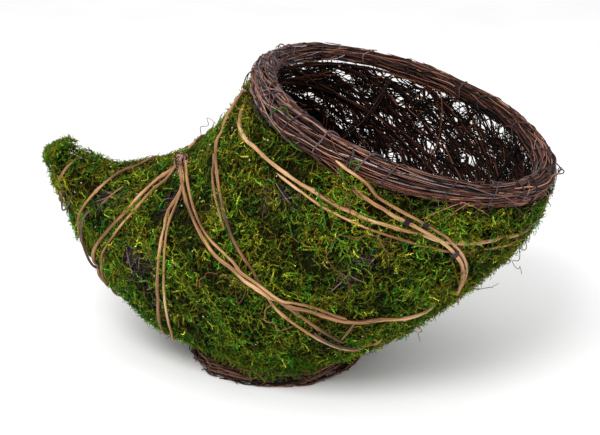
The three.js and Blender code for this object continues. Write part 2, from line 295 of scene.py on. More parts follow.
class Nodes:
    """A small helper for wiring a material's nodes."""

    def __init__(self, name, roughness, specular=0.3):
        self.material = bpy.data.materials.new(name)
        self.material.use_nodes = True
        self.tree = self.material.node_tree
        self.shader = self.tree.nodes["Principled BSDF"]
        self.shader.inputs["Roughness"].default_value = roughness
        self.shader.inputs["Specular IOR Level"].default_value = specular

    def node(self, kind, **inputs):
        made = self.tree.nodes.new(kind)
        for key, value in inputs.items():
            self.set(made.inputs[key.replace("_", " ")], value)
        return made

    def set(self, socket, value):
        if isinstance(value, bpy.types.NodeSocket):
            self.tree.links.new(value, socket)
        else:
            socket.default_value = value

    def attribute(self, name, output="Fac"):
        made = self.tree.nodes.new("ShaderNodeAttribute")
        made.attribute_name = name
        return made.outputs[output]

    def noise(self, scale, detail=3.0, vector=None, roughness=0.55):
        made = self.node("ShaderNodeTexNoise", Scale=scale, Detail=detail, Roughness=roughness)
        if vector is None:
            vector = self.tree.nodes.new("ShaderNodeTexCoord").outputs["Object"]
        self.set(made.inputs["Vector"], vector)
        return made.outputs["Fac"]

    def ramp(self, fac, stops):
        made = self.tree.nodes.new("ShaderNodeValToRGB")
        self.set(made.inputs["Fac"], fac)
        points = made.color_ramp.elements
        while len(points) < len(stops):
            points.new(0.5)
        for point, (position, colour) in zip(points, stops):
            point.position = position
            point.color = (*srgb(colour), 1)
        return made.outputs["Color"]

    def math(self, operation, a, b=0.0, clamp=False):
        made = self.tree.nodes.new("ShaderNodeMath")
        made.operation = operation
        made.use_clamp = clamp
        self.set(made.inputs[0], a)
        self.set(made.inputs[1], b)
        return made.outputs[0]

    def mix(self, fac, a, b, blend="MIX"):
        made = self.tree.nodes.new("ShaderNodeMix")
        made.data_type = "RGBA"
        made.blend_type = blend
        for socket, value in zip((made.inputs[0], made.inputs[6], made.inputs[7]), (fac, a, b)):
            self.set(socket, value)
        return made.outputs[2]

    def bump(self, height, strength, distance):
        made = self.node("ShaderNodeBump", Height=height, Strength=strength, Distance=distance)
        self.set(self.shader.inputs["Normal"], made.outputs["Normal"])

    def colour(self, value):
        self.set(self.shader.inputs["Base Color"], value)


def scaled_vector(nodes, vector, x, y, z):
    made = nodes.tree.nodes.new("ShaderNodeVectorMath")
    made.operation = "MULTIPLY"
    nodes.set(made.inputs[0], vector)
    made.inputs[1].default_value = (x, y, z)
    return made.outputs[0]


MOSS_TINT = (0.76, 0.79, 0.42)
MOSS_TIP_GAIN = (1.8, 1.7, 1.5, 1)
MOSS_HUES = [  # from dry brown over olive and fresh green to yellow green
    (0.0, "5a4a1c"),
    (0.2, "70681e"),
    (0.38, "6c7420"),
    (0.52, "567020"),
    (0.66, "357024"),
    (0.78, "4f9030"),
    (0.9, "98a43c"),
    (1.0, "c0b85c"),
]


def moss_material():
    """Fronds: a hue for each, darkened by the shade attribute (painted shade on the lower fronds, and a
    random tone), paler towards the tip.
    """
    nodes = Nodes("moss", roughness=0.75, specular=0.1)
    shade = nodes.attribute("shade")
    hue = nodes.attribute("hue")
    tip = nodes.attribute("tip")
    blotch = nodes.math("MULTIPLY", nodes.math("SUBTRACT", nodes.noise(700, 2), 0.5), 0.3)
    body = nodes.ramp(nodes.math("ADD", hue, blotch), MOSS_HUES)
    paler = nodes.mix(1.0, body, MOSS_TIP_GAIN, "MULTIPLY")
    body = nodes.mix(nodes.math("MULTIPLY", tip, 0.8), body, paler)
    # The shade attribute, which carries painted shade for fronds lying low in the moss, darkens the colour
    # here.
    depth = nodes.node("ShaderNodeCombineXYZ", X=shade, Y=shade, Z=shade).outputs[0]
    depth = scaled_vector(nodes, depth, *MOSS_TINT)
    nodes.colour(nodes.mix(1.0, body, depth, "MULTIPLY"))
    nodes.bump(nodes.noise(1600, 2), 0.5, 0.4 * MM)
    return nodes.material


STREAK_STRETCH = (1.9, 1.9, 0.45)  # around the twig twice, and along it
FINE_STRETCH = (1.2, 1.2, 0.2)
BUMP_STRETCH = (1.5, 1.5, 0.6)


def twig_material(name, dark, mid, light, pale, roughness=0.7, specular=0.1):
    """Bark of thin twigs: a colour for each twig, streaks along it and a fine rough grain."""
    nodes = Nodes(name, roughness, specular)
    shade = nodes.attribute("shade")
    grain = nodes.attribute("grain", "Vector")
    streaks = nodes.noise(2.2, 4, scaled_vector(nodes, grain, *STREAK_STRETCH))
    fine = nodes.noise(7, 2, scaled_vector(nodes, grain, *FINE_STRETCH))
    value = nodes.math("ADD", shade, nodes.math("MULTIPLY", nodes.math("SUBTRACT", streaks, 0.5), 1.7))
    value = nodes.math("ADD", value, nodes.math("MULTIPLY", nodes.math("SUBTRACT", fine, 0.5), 0.7))
    nodes.colour(nodes.ramp(value, [(0.05, dark), (0.4, mid), (0.72, light), (1.0, pale)]))
    nodes.bump(nodes.noise(5, 3, scaled_vector(nodes, grain, *BUMP_STRETCH)), 0.6, 0.5 * MM)
    return nodes.material


def floor_material():
    nodes = Nodes("floor", roughness=0.9, specular=0.0)
    nodes.colour(nodes.ramp(nodes.noise(6, 2), [(0.3, "fafafa"), (0.7, "fefefe")]))
    return nodes.material


MOSS = moss_material()
RIM_BARK = twig_material("rim_bark", "0a0404", "4a271e", "885442", "bc8e72", 0.5, 0.22)
RIM_GREY_BARK = twig_material("rim_grey_bark", "0a0708", "413436", "7a6a6c", "b6a4a4", 0.5, 0.22)
# Painted shade: the inside wall's bark colours are darker than the twigs' own, for the shade inside the
# horn.
WALL_BARK_AND_SHADE = twig_material("wall_bark_and_shade", "040303", "160c0a", "44261b", "8a5a42")
GAP_BARK = twig_material("gap_bark", "070505", "241a19", "4e3e3a", "8e7870")
FOOT_BARK = twig_material("foot_bark", "100a0a", "38251f", "664638", "96705a")
# Painted shade: the ribs' and rim core's bark is darkened for the shade inside the horn.
FRAME_BARK_AND_SHADE = twig_material("frame_bark_and_shade", "0a0707", "1e1413", "382824", "58443c")
LASHING_BARK = twig_material("lashing_bark", "161012", "32262a", "544448", "7c6a6a")
VINE_BARK = twig_material("vine_bark", "382416", "7c5434", "b48656", "dcb68e", 0.5, 0.35)
DARK_VINE_BARK = twig_material("dark_vine_bark", "241818", "4e3832", "7a5c50", "a08470", 0.6, 0.3)
ROOT_BARK = twig_material("root_bark", "40221a", "744636", "98684e", "b88e70")
FIBRE = twig_material("knot_fibre", "20140f", "664636", "9c7560", "ccac94")
# A pale colour for the small flecks in the moss.
PALE_FLECK_BARK = twig_material("pale_fleck", "5a5648", "9c9a8c", "c8c8c0", "e8e8e4")


# ---- Moss --------------------------------------------------------------------------------------------
FROND_DENSITY = 200_000  # fronds per square metre of horn
FROND_LENGTH = (5 * MM, 13 * MM)
FROND_WIDTH = (0.34 * MM, 0.62 * MM)  # radius of a frond's stem
FROND_POINTS = 5
FROND_TAPER = ([0, 0.2, 0.7, 1], [0.6, 1, 0.8, 0.25])
FROND_CURL = 90  # deviation of the fronds' curl, in radians per metre
HOOKED_CURL = 260
HOOKED_SHARE = 0.3
LONG_SHARE = 0.06
LONG_FACTOR = 1.5
FROND_FOOT = (-8.5, -3.5)  # lift of a frond's start, in millimetres
FROND_RISE = 7  # the most from its start to its tip, in millimetres
FROND_DEEPEST = -10 * MM
LEAFLETS = 8  # on each frond, turn and turn about along its two sides
LEAFLET_LENGTH = (1.3 * MM, 3.0 * MM)
LEAFLET_WIDTH = 0.48 * MM
LEAFLET_TIPS = [0.3, 0.3, 0.3, 1.0]  # how pale the corners at its foot and its point are
FRONDS_PER_PIECE = 3_000
FRINGE = 4 * MM  # how far the moss reaches unevenly past the mouth's edge
MOSS_GAPS = [  # thin spots where twigs show: station, angle, reach
    (82, 111, 11), (71, 75, 9), (282, 130, 11), (298, 94, 15), (308, 84, 13), (291, 72, 14),
    (320, 92, 10), (371, 132, 8), (378, 111, 9), (104, 116, 7), (98, 74, 7), (416, 62, 12),
    (120, 236, 14), (205, 214, 12), (262, 250, 13), (338, 262, 12), (60, 196, 9), (210, 318, 14),
]
SEE_THROUGH = [  # where the back wall and its moss are thin enough to see through: station, angle, reach
    (90, 275, 16), (97, 248, 14), (102, 238, 9), (93, 259, 10), (36, 263, 14), (14, 234, 10), (10, 246, 12),
    (38, 234, 8), (12, 286, 8), (18, 294, 8), (46, 299, 12), (9, 307, 5), (54, 286, 8), (97, 224, 7),
    (24, 270, 6), (50, 274, 6),
]
GAP_THINNING = 0.9  # share of the fronds missing in the middle of a thin spot
SEE_THROUGH_THINNING = 1.2  # more than one: none at all well beyond the middle
BACK_GAPS_MIDDLE = 243  # degrees around the horn
BACK_GAPS_REACH = 74
BACK_GAPS_WEIGHT = 0.9
TIP_SWELL = 7 * MM  # the tail's blunt end bulges on its upper side
TIP_SWELL_STATIONS = (402 * MM, 436 * MM)
MOUTH_SWELL = 4.5 * MM  # the moss under the rim is thicker on the underside
MOUTH_SWELL_STATIONS = (25 * MM, 90 * MM)


def lumpy_lift(points):
    return 1.6 * MM * LUMPS(points) + 1.5 * MM * SMALL_LUMPS(points)


def tip_swell(s, a):
    return TIP_SWELL * ease(s, *TIP_SWELL_STATIONS) * (1 - underside(a)) ** 1.5


def mouth_swell(s, a):
    return MOUTH_SWELL * (1 - ease(s, *MOUTH_SWELL_STATIONS)) * underside(a) ** 2


def thin_spots(s, a, spots):
    """One in the middle of a thin spot, falling to nothing at its edge."""
    thin = np.zeros(len(s))
    r = np.maximum(moss_radius(s, a), 5 * MM)
    for station, angle, reach in spots:
        around = (np.degrees(a) - angle + 180) % 360 - 180
        far = np.hypot(s - station * MM, np.radians(around) * r) / (reach * MM)
        thin = np.maximum(thin, np.clip(1.3 - far, 0, 1))
    return thin


def surface_walk(s, a, heading, curl, length, points):
    """Stations and angles of curling paths (n, points) over the moss, from their starts."""
    t = steps(points) * length[:, None]
    turned = heading[:, None] + curl[:, None] * t
    step = np.gradient(t, axis=1)
    across = np.cumsum(np.cos(turned) * step, 1) - np.cos(turned[:, :1]) * step[:, :1]
    around = np.cumsum(np.sin(turned) * step, 1) - np.sin(turned[:, :1]) * step[:, :1]
    r = np.maximum(moss_radius(s, a), 5 * MM)
    stretch = (BEND_RADIUS + r * np.cos(a)) / BEND_RADIUS
    return s[:, None] + across / stretch[:, None], a[:, None] + around / r[:, None]


def centred_walk(s, a, heading, curl, length, points):
    """The same paths, moved so that each has its middle at its place."""
    walk_s, walk_a = surface_walk(s, a, heading, curl, length, points)
    return walk_s - (walk_s.mean(1) - s)[:, None], walk_a - (walk_a.mean(1) - a)[:, None]


def scatter(rng, density, start, end):
    """Even random places over the horn's skin, by area."""
    most = MOUTH_RADIUS * (BEND_RADIUS + MOUTH_RADIUS) / BEND_RADIUS
    n = int(density * most * 2 * np.pi * (end - start))
    s = rng.uniform(start, end, n)
    a = rng.uniform(0, 2 * np.pi, n)
    r = np.maximum(moss_radius(s, a), 3 * MM)
    area = r * (BEND_RADIUS + r * np.cos(a)) / BEND_RADIUS
    keep = rng.uniform(0, most, n) < area
    return s[keep], a[keep]


def panel_of(s, a):
    """The name of the moss panel that each place belongs to."""
    names = np.full(len(s), "tail_tip", dtype="U24")
    degrees = np.degrees(a) % 360
    edges = [0.0, *BAND_ENDS]
    for band, sectors in enumerate(BAND_SECTORS[:-1]):
        in_band = (s >= edges[band]) & (s < edges[band + 1])
        for name, (start, end) in sectors.items():
            inside = (degrees - start) % 360 < end - start
            names[in_band & inside] = name
    return names


def moss_hues(rng, points):
    """A hue for each frond: patches of olive, fresh green and yellow green, greener lower down."""
    n = len(points)
    lower = np.clip((0.16 - points[:, 2]) / 0.12, -1, 1)
    hue = 0.36 + 0.06 * lower + 0.11 * PATCHES(points) + rng.normal(0, 0.12, n)
    patch = SMALL_LUMPS(points[:, [1, 2, 0]]) > 0.45
    fresh = rng.uniform(size=n) < 0.12 + 0.05 * lower + 0.25 * patch
    hue = np.where(fresh, rng.normal(0.68, 0.04, n), hue)
    yellow = rng.uniform(size=n) < 0.05
    return np.clip(np.where(yellow, rng.normal(0.9, 0.06, n), hue), 0, 1)


def back_gaps(s, a):
    """How thin the moss is at each place: holes at the back near the mouth, where the twigs show."""
    away = np.abs(np.degrees(a) % 360 - BACK_GAPS_MIDDLE) / BACK_GAPS_REACH
    near_back = np.minimum(3 * np.clip(1 - away, 0, 1), 1)
    return near_back * np.clip((BAND_ENDS[0] * 1.25 - s) / (60 * MM), 0, 1)


def leaflets(rng, foot, along, up, turn, size):
    """Corners (n, 4, 3) of a thin pointed leaflet at each foot, leaning out to one side."""
    n = len(foot)
    up = unit(up + rng.normal(0, 0.35, (n, 3)))
    side = unit(np.cross(along, up)) * turn
    lean = column(rng, 0.5, 1.1, n)
    way = unit(along * np.cos(lean) + side * np.sin(lean) + up * column(rng, -0.3, 0.5, n))
    across = unit(np.cross(up, way))
    rise = np.cross(way, across) * LEAFLET_WIDTH * 0.6
    across = across * LEAFLET_WIDTH
    length = column(rng, *LEAFLET_LENGTH, n) * size
    return np.stack([foot - across, foot + across, foot + rise, foot + way * length], 1)


def grow(batch, rng, paths, ups, radii, shade, hue):
    """Adds feathery fronds: a thin stem for each path with small pointed leaflets on both sides."""
    n, k = paths.shape[:2]
    if n == 0:
        return
    batch.add_tubes(paths, radii, ups, 3, shade * 0.85, 0.6, hue=hue)
    along = unit(np.gradient(paths, axis=1))
    for j in range(LEAFLETS):
        at = (0.12 + 0.86 * (j + 0.5) / LEAFLETS) * (k - 1)
        i, f = int(at), at - int(at)
        foot = paths[:, i] * (1 - f) + paths[:, min(i + 1, k - 1)] * f
        size = 1.1 - 0.5 * at / (k - 1)
        corners = leaflets(rng, foot, along[:, i], ups[:, i], 1 if j % 2 else -1, size).reshape(-1, 3)
        first = np.arange(n)[:, None] * 4
        batch.add(
            corners,
            [np.concatenate([first + side for side in ([0, 2, 1], [0, 1, 3], [1, 2, 3], [2, 0, 3])])],
            shade=np.repeat(shade * np.exp(rng.normal(0, 0.5, n)).clip(0.3, 2.6), 4),
            hue=np.repeat(hue, 4),
            tip=np.tile(LEAFLET_TIPS, n),
            grain=corners * GRAIN_SCALE,
        )


def frond_places(rng):
    """Even random places on the horn, without those in the moss's gaps, and the points of the skin."""
    s, a = scatter(rng, FROND_DENSITY, 0.0, SPINE_LENGTH)
    keep = s > mouth_edge(a) - rng.uniform(0, FRINGE, len(s))
    s, a = s[keep], a[keep]
    points = on_horn(s, a, 0)
    sparse = back_gaps(s, a)
    hole = GAPS(points) + BACK_GAPS_WEIGHT * sparse - 0.75
    keep = hole < rng.uniform(-0.08, 0.08, len(s)) + np.where(sparse > 0.2, -0.04, 0.7)
    keep &= rng.uniform(size=len(s)) > GAP_THINNING * thin_spots(s, a, MOSS_GAPS)
    keep &= rng.uniform(size=len(s)) > SEE_THROUGH_THINNING * thin_spots(s, a, SEE_THROUGH)
    return s[keep], a[keep], points[keep]


def frond_walks(rng, s, a):
    """Curling paths over the skin, a few of them hooked and a few of them long."""
    n = len(s)
    heading = rng.uniform(0, 2 * np.pi, n)
    hooked = rng.uniform(size=n) < HOOKED_SHARE
    curl = rng.normal(0, 1, n) * np.where(hooked, HOOKED_CURL, FROND_CURL)
    length = rng.uniform(*FROND_LENGTH, n) * np.where(rng.uniform(size=n) < LONG_SHARE, LONG_FACTOR, 1)
    walk_s, walk_a = surface_walk(s, a, heading, curl, length, FROND_POINTS)
    return np.minimum(walk_s, SPINE_LENGTH - 6 * MM), walk_a


def frond_lifts(rng, n):
    """How high the fronds lie along their way: up from the mat, bowed and a little wavy."""
    t = steps(FROND_POINTS)
    low = column(rng, *FROND_FOOT, n) * MM
    rise = rng.gamma(2.0, 1.5, n).clip(0, FROND_RISE)[:, None] * MM
    bow = column(rng, 0, 2.0, n) * MM
    wave = 0.7 * MM * np.sin(t * column(rng, 4, 9, n) + column(rng, 0, 6, n))
    return low + rise * t**1.4 + bow * np.sin(np.pi * t) + wave


def add_fronds(batches):
    """Fronds all over the horn, with painted shade that darkens those lying lower in the moss, in a batch or
    more for each panel.
    """
    rng = np.random.default_rng(21)
    s, a, points = frond_places(rng)
    n = len(s)
    walk_s, walk_a = frond_walks(rng, s, a)
    lift = frond_lifts(rng, n) + lumpy_lift(points)[:, None]
    height = np.clip((lift.max(1) + 6.5 * MM) / (8 * MM), 0.0, 1.0)
    lift = np.maximum(lift, FROND_DEEPEST) + tip_swell(walk_s, walk_a) + mouth_swell(walk_s, walk_a)
    paths = on_horn(walk_s, walk_a, lift)
    ups = outward(walk_s, walk_a)
    radii = column(rng, *FROND_WIDTH, n) * np.interp(steps(FROND_POINTS), *FROND_TAPER)
    hue = moss_hues(rng, points)
    # Painted shade: the lower a frond lies in the moss, the darker its shade; the random factor is its own
    # tone.
    shade = (0.05 + 1.17 * height**1.85) * np.exp(rng.normal(0, 0.42, n)).clip(0.4, 2.3)
    panel = panel_of(s, a)
    for name in np.unique(panel):
        members = np.flatnonzero(panel == name)
        members = members[np.argsort(s[members])]
        parts = math.ceil(len(members) / FRONDS_PER_PIECE)
        for part, pick in enumerate(np.array_split(members, parts)):
            batch = batches.setdefault((str(name), part), Batch())
            grow(batch, rng, paths[pick], ups[pick], radii[pick], shade[pick], hue[pick])


def loose_fronds(batch, rng, base, facing, downward, shade, size=1.0):
    """Fronds around free places, lying across the way they face and reaching out a little."""
    n = len(base)
    way = rng.normal(size=(n, 3))
    way = way - facing * (way * facing).sum(1, keepdims=True)
    way = unit(unit(way) + facing * column(rng, 0.0, 0.4, n) - np.array([0, 0, downward]))
    length = column(rng, *FROND_LENGTH, n)[..., None] * size
    bend = unit(rng.normal(size=(n, 3)))[:, None]
    reach = steps(FROND_POINTS)[None, :, None]
    paths = base[:, None] + way[:, None] * length * reach + bend * length * 0.35 * reach**2
    paths[..., 2] = np.maximum(paths[..., 2], 4 * MM)
    ups = np.broadcast_to(facing[:, None], paths.shape)
    radii = column(rng, *FROND_WIDTH, n) * np.interp(steps(FROND_POINTS), *FROND_TAPER)
    grow(batch, rng, paths, ups, radii, shade, moss_hues(rng, base))


TIP_FRONDS = 1000
TIP_START = SPINE_LENGTH - 13 * MM
TIP_DOME = 11 * MM


def add_tip_end(batch):
    """Moss over the tail's blunt, rounded end."""
    rng = np.random.default_rng(23)
    n = TIP_FRONDS
    a = rng.uniform(0, 2 * np.pi, n)
    out = np.sqrt(rng.uniform(0, 1, n))
    ahead = np.sqrt(1 - out**2)
    s = TIP_START + TIP_DOME * ahead - rng.uniform(0, 4, n) * MM
    full = moss_radius(np.full(n, TIP_START), a) + 1.5 * tip_swell(s, a) - 2.4 * MM * underside(a)
    base = place(s, a, full * out)
    heading = heading_at(s)
    forward = np.stack([np.cos(heading), np.zeros(n), np.sin(heading)], -1)
    facing = unit(forward * ahead[:, None] + outward(s, a) * out[:, None])
    loose_fronds(batch, rng, base, facing, 0.0, rng.uniform(0.35, 1.3, n), 0.5)


def grid_shell(s, a, outer, inner):
    """A closed slab over a grid of stations and angles, between two lifts."""
    rows, cols = s.shape
    top, under = on_horn(s, a, outer), on_horn(s, a, inner)
    i, j = np.meshgrid(np.arange(rows - 1), np.arange(cols - 1), indexing="ij")
    at = i * cols + j
    upper = np.stack([at, at + 1, at + cols + 1, at + cols], -1).reshape(-1, 4)
    lower = upper[:, ::-1] + rows * cols
    corner = np.arange(rows * cols).reshape(rows, cols)
    loop = np.concatenate([corner[0, :-1], corner[:-1, -1], corner[-1, :0:-1], corner[:0:-1, 0]])
    nxt = np.roll(loop, -1)
    sides = np.stack([nxt, loop, loop + rows * cols, nxt + rows * cols], -1)
    return np.concatenate([top.reshape(-1, 3), under.reshape(-1, 3)]), [upper, lower, sides]


MAT_STEP = 5 * MM
MAT_OUTER = -8.0 * MM
MAT_INNER = -10.5 * MM
MAT_ROUGHNESS = 1.2 * MM
MAT_SECTORS = {"mouth_top": (90, 178), "mouth_underside": (352, 390)}  # narrower, to leave the wall's gaps


def add_mat(batch, start, end, a_start, a_end):
    """The dense matted underside of the moss, which closes the view between the fronds. Its near-black
    colour is partly the mat's own and partly painted shade.
    """
    rows = max(int((end - start) / MAT_STEP), 4)
    cols = max(int(np.radians(a_end - a_start) * 0.8 * girth((start + end) / 2) / MAT_STEP), 8)
    stations = np.linspace(start, end, rows)
    s, a = np.meshgrid(stations, np.radians(np.linspace(a_start, a_end, cols)), indexing="ij")
    s = below_mouth(s, a) if start < BAND_ENDS[0] else s
    rough = MAT_ROUGHNESS * SMALL_LUMPS(on_horn(s, a, 0) * 1.9)
    corners, faces = grid_shell(s, a, MAT_OUTER + rough, MAT_INNER + rough)
    n = len(corners)
    # Painted shade: the mat's very low shade value darkens it as moss deep in shade.
    values = {"shade": np.full(n, 0.13), "hue": np.full(n, 0.1), "tip": np.zeros(n)}
    batch.add(corners, faces, **values, grain=corners * GRAIN_SCALE)


def mats(batches):
    edges = [WALL_DROP, *BAND_ENDS]
    for band, sectors in enumerate(BAND_SECTORS[:-1]):
        for name, sector in sectors.items():
            if name != "mouth_back":
                add_mat(batches[name, 0], edges[band], edges[band + 1], *MAT_SECTORS.get(name, sector))
    add_mat(batches["tail_tip", 0], BAND_ENDS[-1], SPINE_LENGTH - 4 * MM, 0, 359)


SKIRT_FRONDS = 3000
SKIRT_PART = 9
SKIRT_TOP = 34 * MM
SKIRT_EDGE = 29 * MM
SKIRT_FRONT_DROP = 12 * MM


def add_skirt(batch):
    """Moss hanging from the belly over the foot ring, lowest at the front."""
    rng = np.random.default_rng(31)
    n = SKIRT_FRONDS
    around = rng.uniform(0, 2 * np.pi, n)
    front = np.clip(np.cos(around + np.pi / 2 - 0.3), 0, 1) ** 4
    facing = np.stack([np.cos(around), np.sin(around), np.zeros(n)], -1)
    lowest = SKIRT_EDGE - SKIRT_FRONT_DROP * front + 4 * MM * LUMPS(facing * 0.09)
    z = lowest + rng.uniform(0, 1, n) ** 0.8 * (SKIRT_TOP - lowest)
    reach = FOOT_RING_RADIUS + column(rng, 4, 9, n) * MM
    base = FOOT_AXIS + facing * reach
    base[:, 2] = z
    loose_fronds(batch, rng, base, facing, 0.5, rng.uniform(0.4, 1.1, n))


BLADES = [  # grass-like blades in the moss, as (station, angle, lift) places
    [(38, 103, 2), (45, 101, 5), (57, 97, 5), (68, 93, 3)],
    [(3, 99, 7), (12, 97, 7), (22, 96, 3)],
    [(17, 121, 2), (16.5, 117, 5), (16, 113.5, 3)],
    [(2, 132, 6), (-14, 130, 4), (-21, 128, -1), (-18, 125, 1), (-12, 123, 5)],
    [(3, 96, 7), (-4, 96, 7), (-7, 94.5, 6), (-2, 93, 7), (3, 94.5, 7)],
    [(20, 38, 3), (34, 36, 5), (48, 37, 3)],
    [(60, 200, 2), (80, 206, 5), (98, 208, 3)],
    [(260, 230, 2), (246, 236, 5), (230, 240, 3)],
    [(110, 300, 2), (126, 304, 5), (140, 310, 3)],
]
BLADE_WIDTH = 0.85 * MM
BLADE_POINTS = 14


def add_blades(batches):
    rng = np.random.default_rng(37)
    for route in BLADES:
        s, a, lift, _ = smooth_route(route, BLADE_POINTS)
        panel = str(panel_of(s[:1], a[:1])[0])
        width = BLADE_WIDTH * np.sin(np.pi * np.linspace(0.06, 0.97, BLADE_POINTS)) ** 0.7
        path, ups = on_horn(s, a, lift)[None], outward(s, a)[None]
        batches[panel, 0].add_tubes(path, width[None], ups, 6, [0.62], 0.25, hue=rng.uniform(0.58, 0.7, 1))


PALE_FLECKS = 130
PALE_FLECK_LENGTH = 1.6 * MM


def dry_bits():
    """Small pale flecks caught in the moss."""
    rng = np.random.default_rng(39)
    n = PALE_FLECKS
    s = rng.uniform(40 * MM, 420 * MM, n)
    a = rng.uniform(0, 2 * np.pi, n)
    s, a = surface_walk(s, a, rng.uniform(0, 6, n), np.zeros(n), np.full(n, PALE_FLECK_LENGTH), 4)
    lift = column(rng, -1.5, 1.5, n) * MM
    radii = column(rng, 0.35, 0.8, n) * MM * np.array([0.4, 1, 0.9, 0.3])
    batch = Batch()
    paths = on_horn(s, a, np.broadcast_to(lift, s.shape))
    batch.add_tubes(paths, radii, outward(s, a), 5, rng.uniform(0.4, 1, n), 0.6)
    batch.build("mossy_dry_bits", PALE_FLECK_BARK, "moss")


def moss():
    batches = {}
    add_fronds(batches)
    mats(batches)
    add_blades(batches)
    add_tip_end(batches["tail_tip", 0])
    add_skirt(batches.setdefault(("belly_underside", SKIRT_PART), Batch()))
    for (panel, part), batch in batches.items():
        batch.build(f"mossy_{panel}_{part + 1}", MOSS, "moss", [f"moss_{panel}"])
    dry_bits()


# ---- Twigs of the inside wall and the frame ----------------------------------------------------------
MOUTH_WALL_DENSITY = 18_500  # twigs per square metre of wall
TAIL_WALL_DENSITY = 6_000
WALL_TWIG_POINTS = 22
WALL_TWIG_RADIUS = (0.45 * MM, 0.8 * MM)
WALL_TWIG_LENGTH = (70, 200)  # in millimetres, where the horn is widest
WALL_LAYER = (-17.0 * MM, -13.0 * MM)
WALL_PIECES = 4
CROSSING_SHARE = 0.12  # of the twigs lie across the others
SLITS_PER_CLUSTER = 5
SLIT_HALF_LENGTH = (4 * MM, 9 * MM)
SLIT_PUSH = (1.4 * MM, 3.2 * MM)  # how far twigs are pushed aside at a slit's middle


def wall_slope(a):
    """How far the wall's twigs lean from the way around the horn, in radians."""
    return -0.3 * ease(np.degrees(a) % 360, 225, 265)


def part_twigs(rng, s, a):
    """Stations of the wall's twigs, pushed apart by narrow slits where the wall is thin."""
    spots = np.repeat(np.array(SEE_THROUGH, float), SLITS_PER_CLUSTER, axis=0)
    radius = girth(s)
    for station, angle, reach in spots:
        middle_s = (station + rng.normal(0, 0.5) * reach) * MM
        middle_a = math.radians(angle) + rng.normal(0, 0.5) * reach * MM / MOUTH_RADIUS
        lean = -float(wall_slope(np.array(middle_a)))
        around = ((a - middle_a + np.pi) % (2 * np.pi) - np.pi) * radius
        along = around * math.cos(lean) + (s - middle_s) * math.sin(lean)
        aside = (s - middle_s) * math.cos(lean) - around * math.sin(lean)
        push = rng.uniform(*SLIT_PUSH)
        near = np.exp(-((along / rng.uniform(*SLIT_HALF_LENGTH)) ** 2) - np.abs(aside) / (2.5 * push))
        s = s + push * near * np.sign(aside)
    return s


def wall_walks(rng, s, a):
    """Stations and angles of the wall's twigs, which lie around the horn or cross the others."""
    n = len(s)
    crossing = rng.uniform(size=n) < CROSSING_SHARE
    slant = rng.normal(0, 0.16, n) + np.where(rng.uniform(size=n) < 0.8, wall_slope(a), 0.15)
    heading = np.pi / 2 + np.where(crossing, rng.uniform(-1.3, 1.3, n), slant)
    length = rng.uniform(*WALL_TWIG_LENGTH, n) * MM * np.minimum(girth(s) / MOUTH_RADIUS + 0.15, 1)
    walk_s, walk_a = centred_walk(s, a, heading, rng.normal(0, 2.5, n), length, WALL_TWIG_POINTS)
    walk_s = part_twigs(rng, walk_s, walk_a)
    top = mouth_edge(walk_a) - 5 * MM - 5.5 * MM * lap_bump(-walk_a, 150, 45)
    return np.clip(walk_s, top, BAND_ENDS[-1]), walk_a


def wall_twigs():
    """The crossed twigs of the wall, with narrow gaps between them."""
    rng = np.random.default_rng(41)
    mouth = scatter(rng, MOUTH_WALL_DENSITY, WALL_DROP, BAND_ENDS[0])
    rest = scatter(rng, TAIL_WALL_DENSITY, BAND_ENDS[0], BAND_ENDS[-1])
    s, a = (np.concatenate(pair) for pair in zip(mouth, rest))
    n = len(s)
    s, a = wall_walks(rng, s, a)
    depth = column(rng, *WALL_LAYER, n) + rng.normal(0, 0.5 * MM, (n, WALL_TWIG_POINTS))
    paths, ups = on_horn(s, a, depth), outward(s, a)
    radii = column(rng, *WALL_TWIG_RADIUS, n)
    # Most wall twigs get a low shade: partly their dark bark, partly painted shade inside the horn.
    shade = np.clip(rng.normal(0.34, 0.26, n), 0, 1)
    for part in range(WALL_PIECES):
        pick = slice(part, None, WALL_PIECES)
        batch = Batch()
        batch.add_tubes(paths[pick], radii[pick], ups[pick], 4, shade[pick])
        batch.build(f"wicker_twigs_{part + 1}", WALL_BARK_AND_SHADE, "wicker", ["wicker_wall"])
    gap_twigs(rng)


GAP_TWIGS = 34  # for each thin spot of the moss
GAP_TWIG_POINTS = 8
GAP_SPREAD = 0.6  # of a thin spot's reach


def gap_twigs(rng):
    """Outer twigs of the wall that show through the moss's thin spots."""
    station, angle, reach = np.repeat(np.array(MOSS_GAPS, float), GAP_TWIGS, axis=0).T
    n = len(station)
    s = (station + rng.normal(0, GAP_SPREAD, n) * reach) * MM
    r = np.maximum(moss_radius(s, np.radians(angle)), 12 * MM)
    a = np.radians(angle) + rng.normal(0, GAP_SPREAD, n) * reach * MM / r
    heading = np.pi / 2 + rng.normal(0, 0.5, n) + np.where(rng.uniform(size=n) < 0.3, 1.2, 0)
    length = rng.uniform(14, 40, n) * MM * np.minimum(r / (60 * MM), 1)
    s, a = centred_walk(s, a, heading, rng.normal(0, 18, n), length, GAP_TWIG_POINTS)
    bow = np.sin(np.linspace(0, np.pi, GAP_TWIG_POINTS)) * column(rng, 0, 2.5, n) * MM
    lift = column(rng, -7.5, -4.5, n) * MM + bow
    radii = column(rng, 0.35, 0.75, n) * MM
    batch = Batch()
    batch.add_tubes(on_horn(s, a, lift), radii, outward(s, a), 4, np.clip(rng.normal(0.5, 0.25, n), 0, 1))
    batch.build("wicker_gap_twigs", GAP_BARK, "wicker", ["wicker_wall"])


RIBS = 5
FIRST_RIB = 36  # degrees around the horn
RIB_END = 372 * MM
RIB_POINTS = 40
RIB_DEPTH = -20.5 * MM
RIB_RADIUS = 0.85 * MM
HOOP_STATIONS = (70 * MM, 170 * MM, 275 * MM)
HOOP_TWIGS = 6
HOOP_POINTS = 90
HOOP_DEPTH = -19 * MM
HOOP_RADIUS = 0.75 * MM


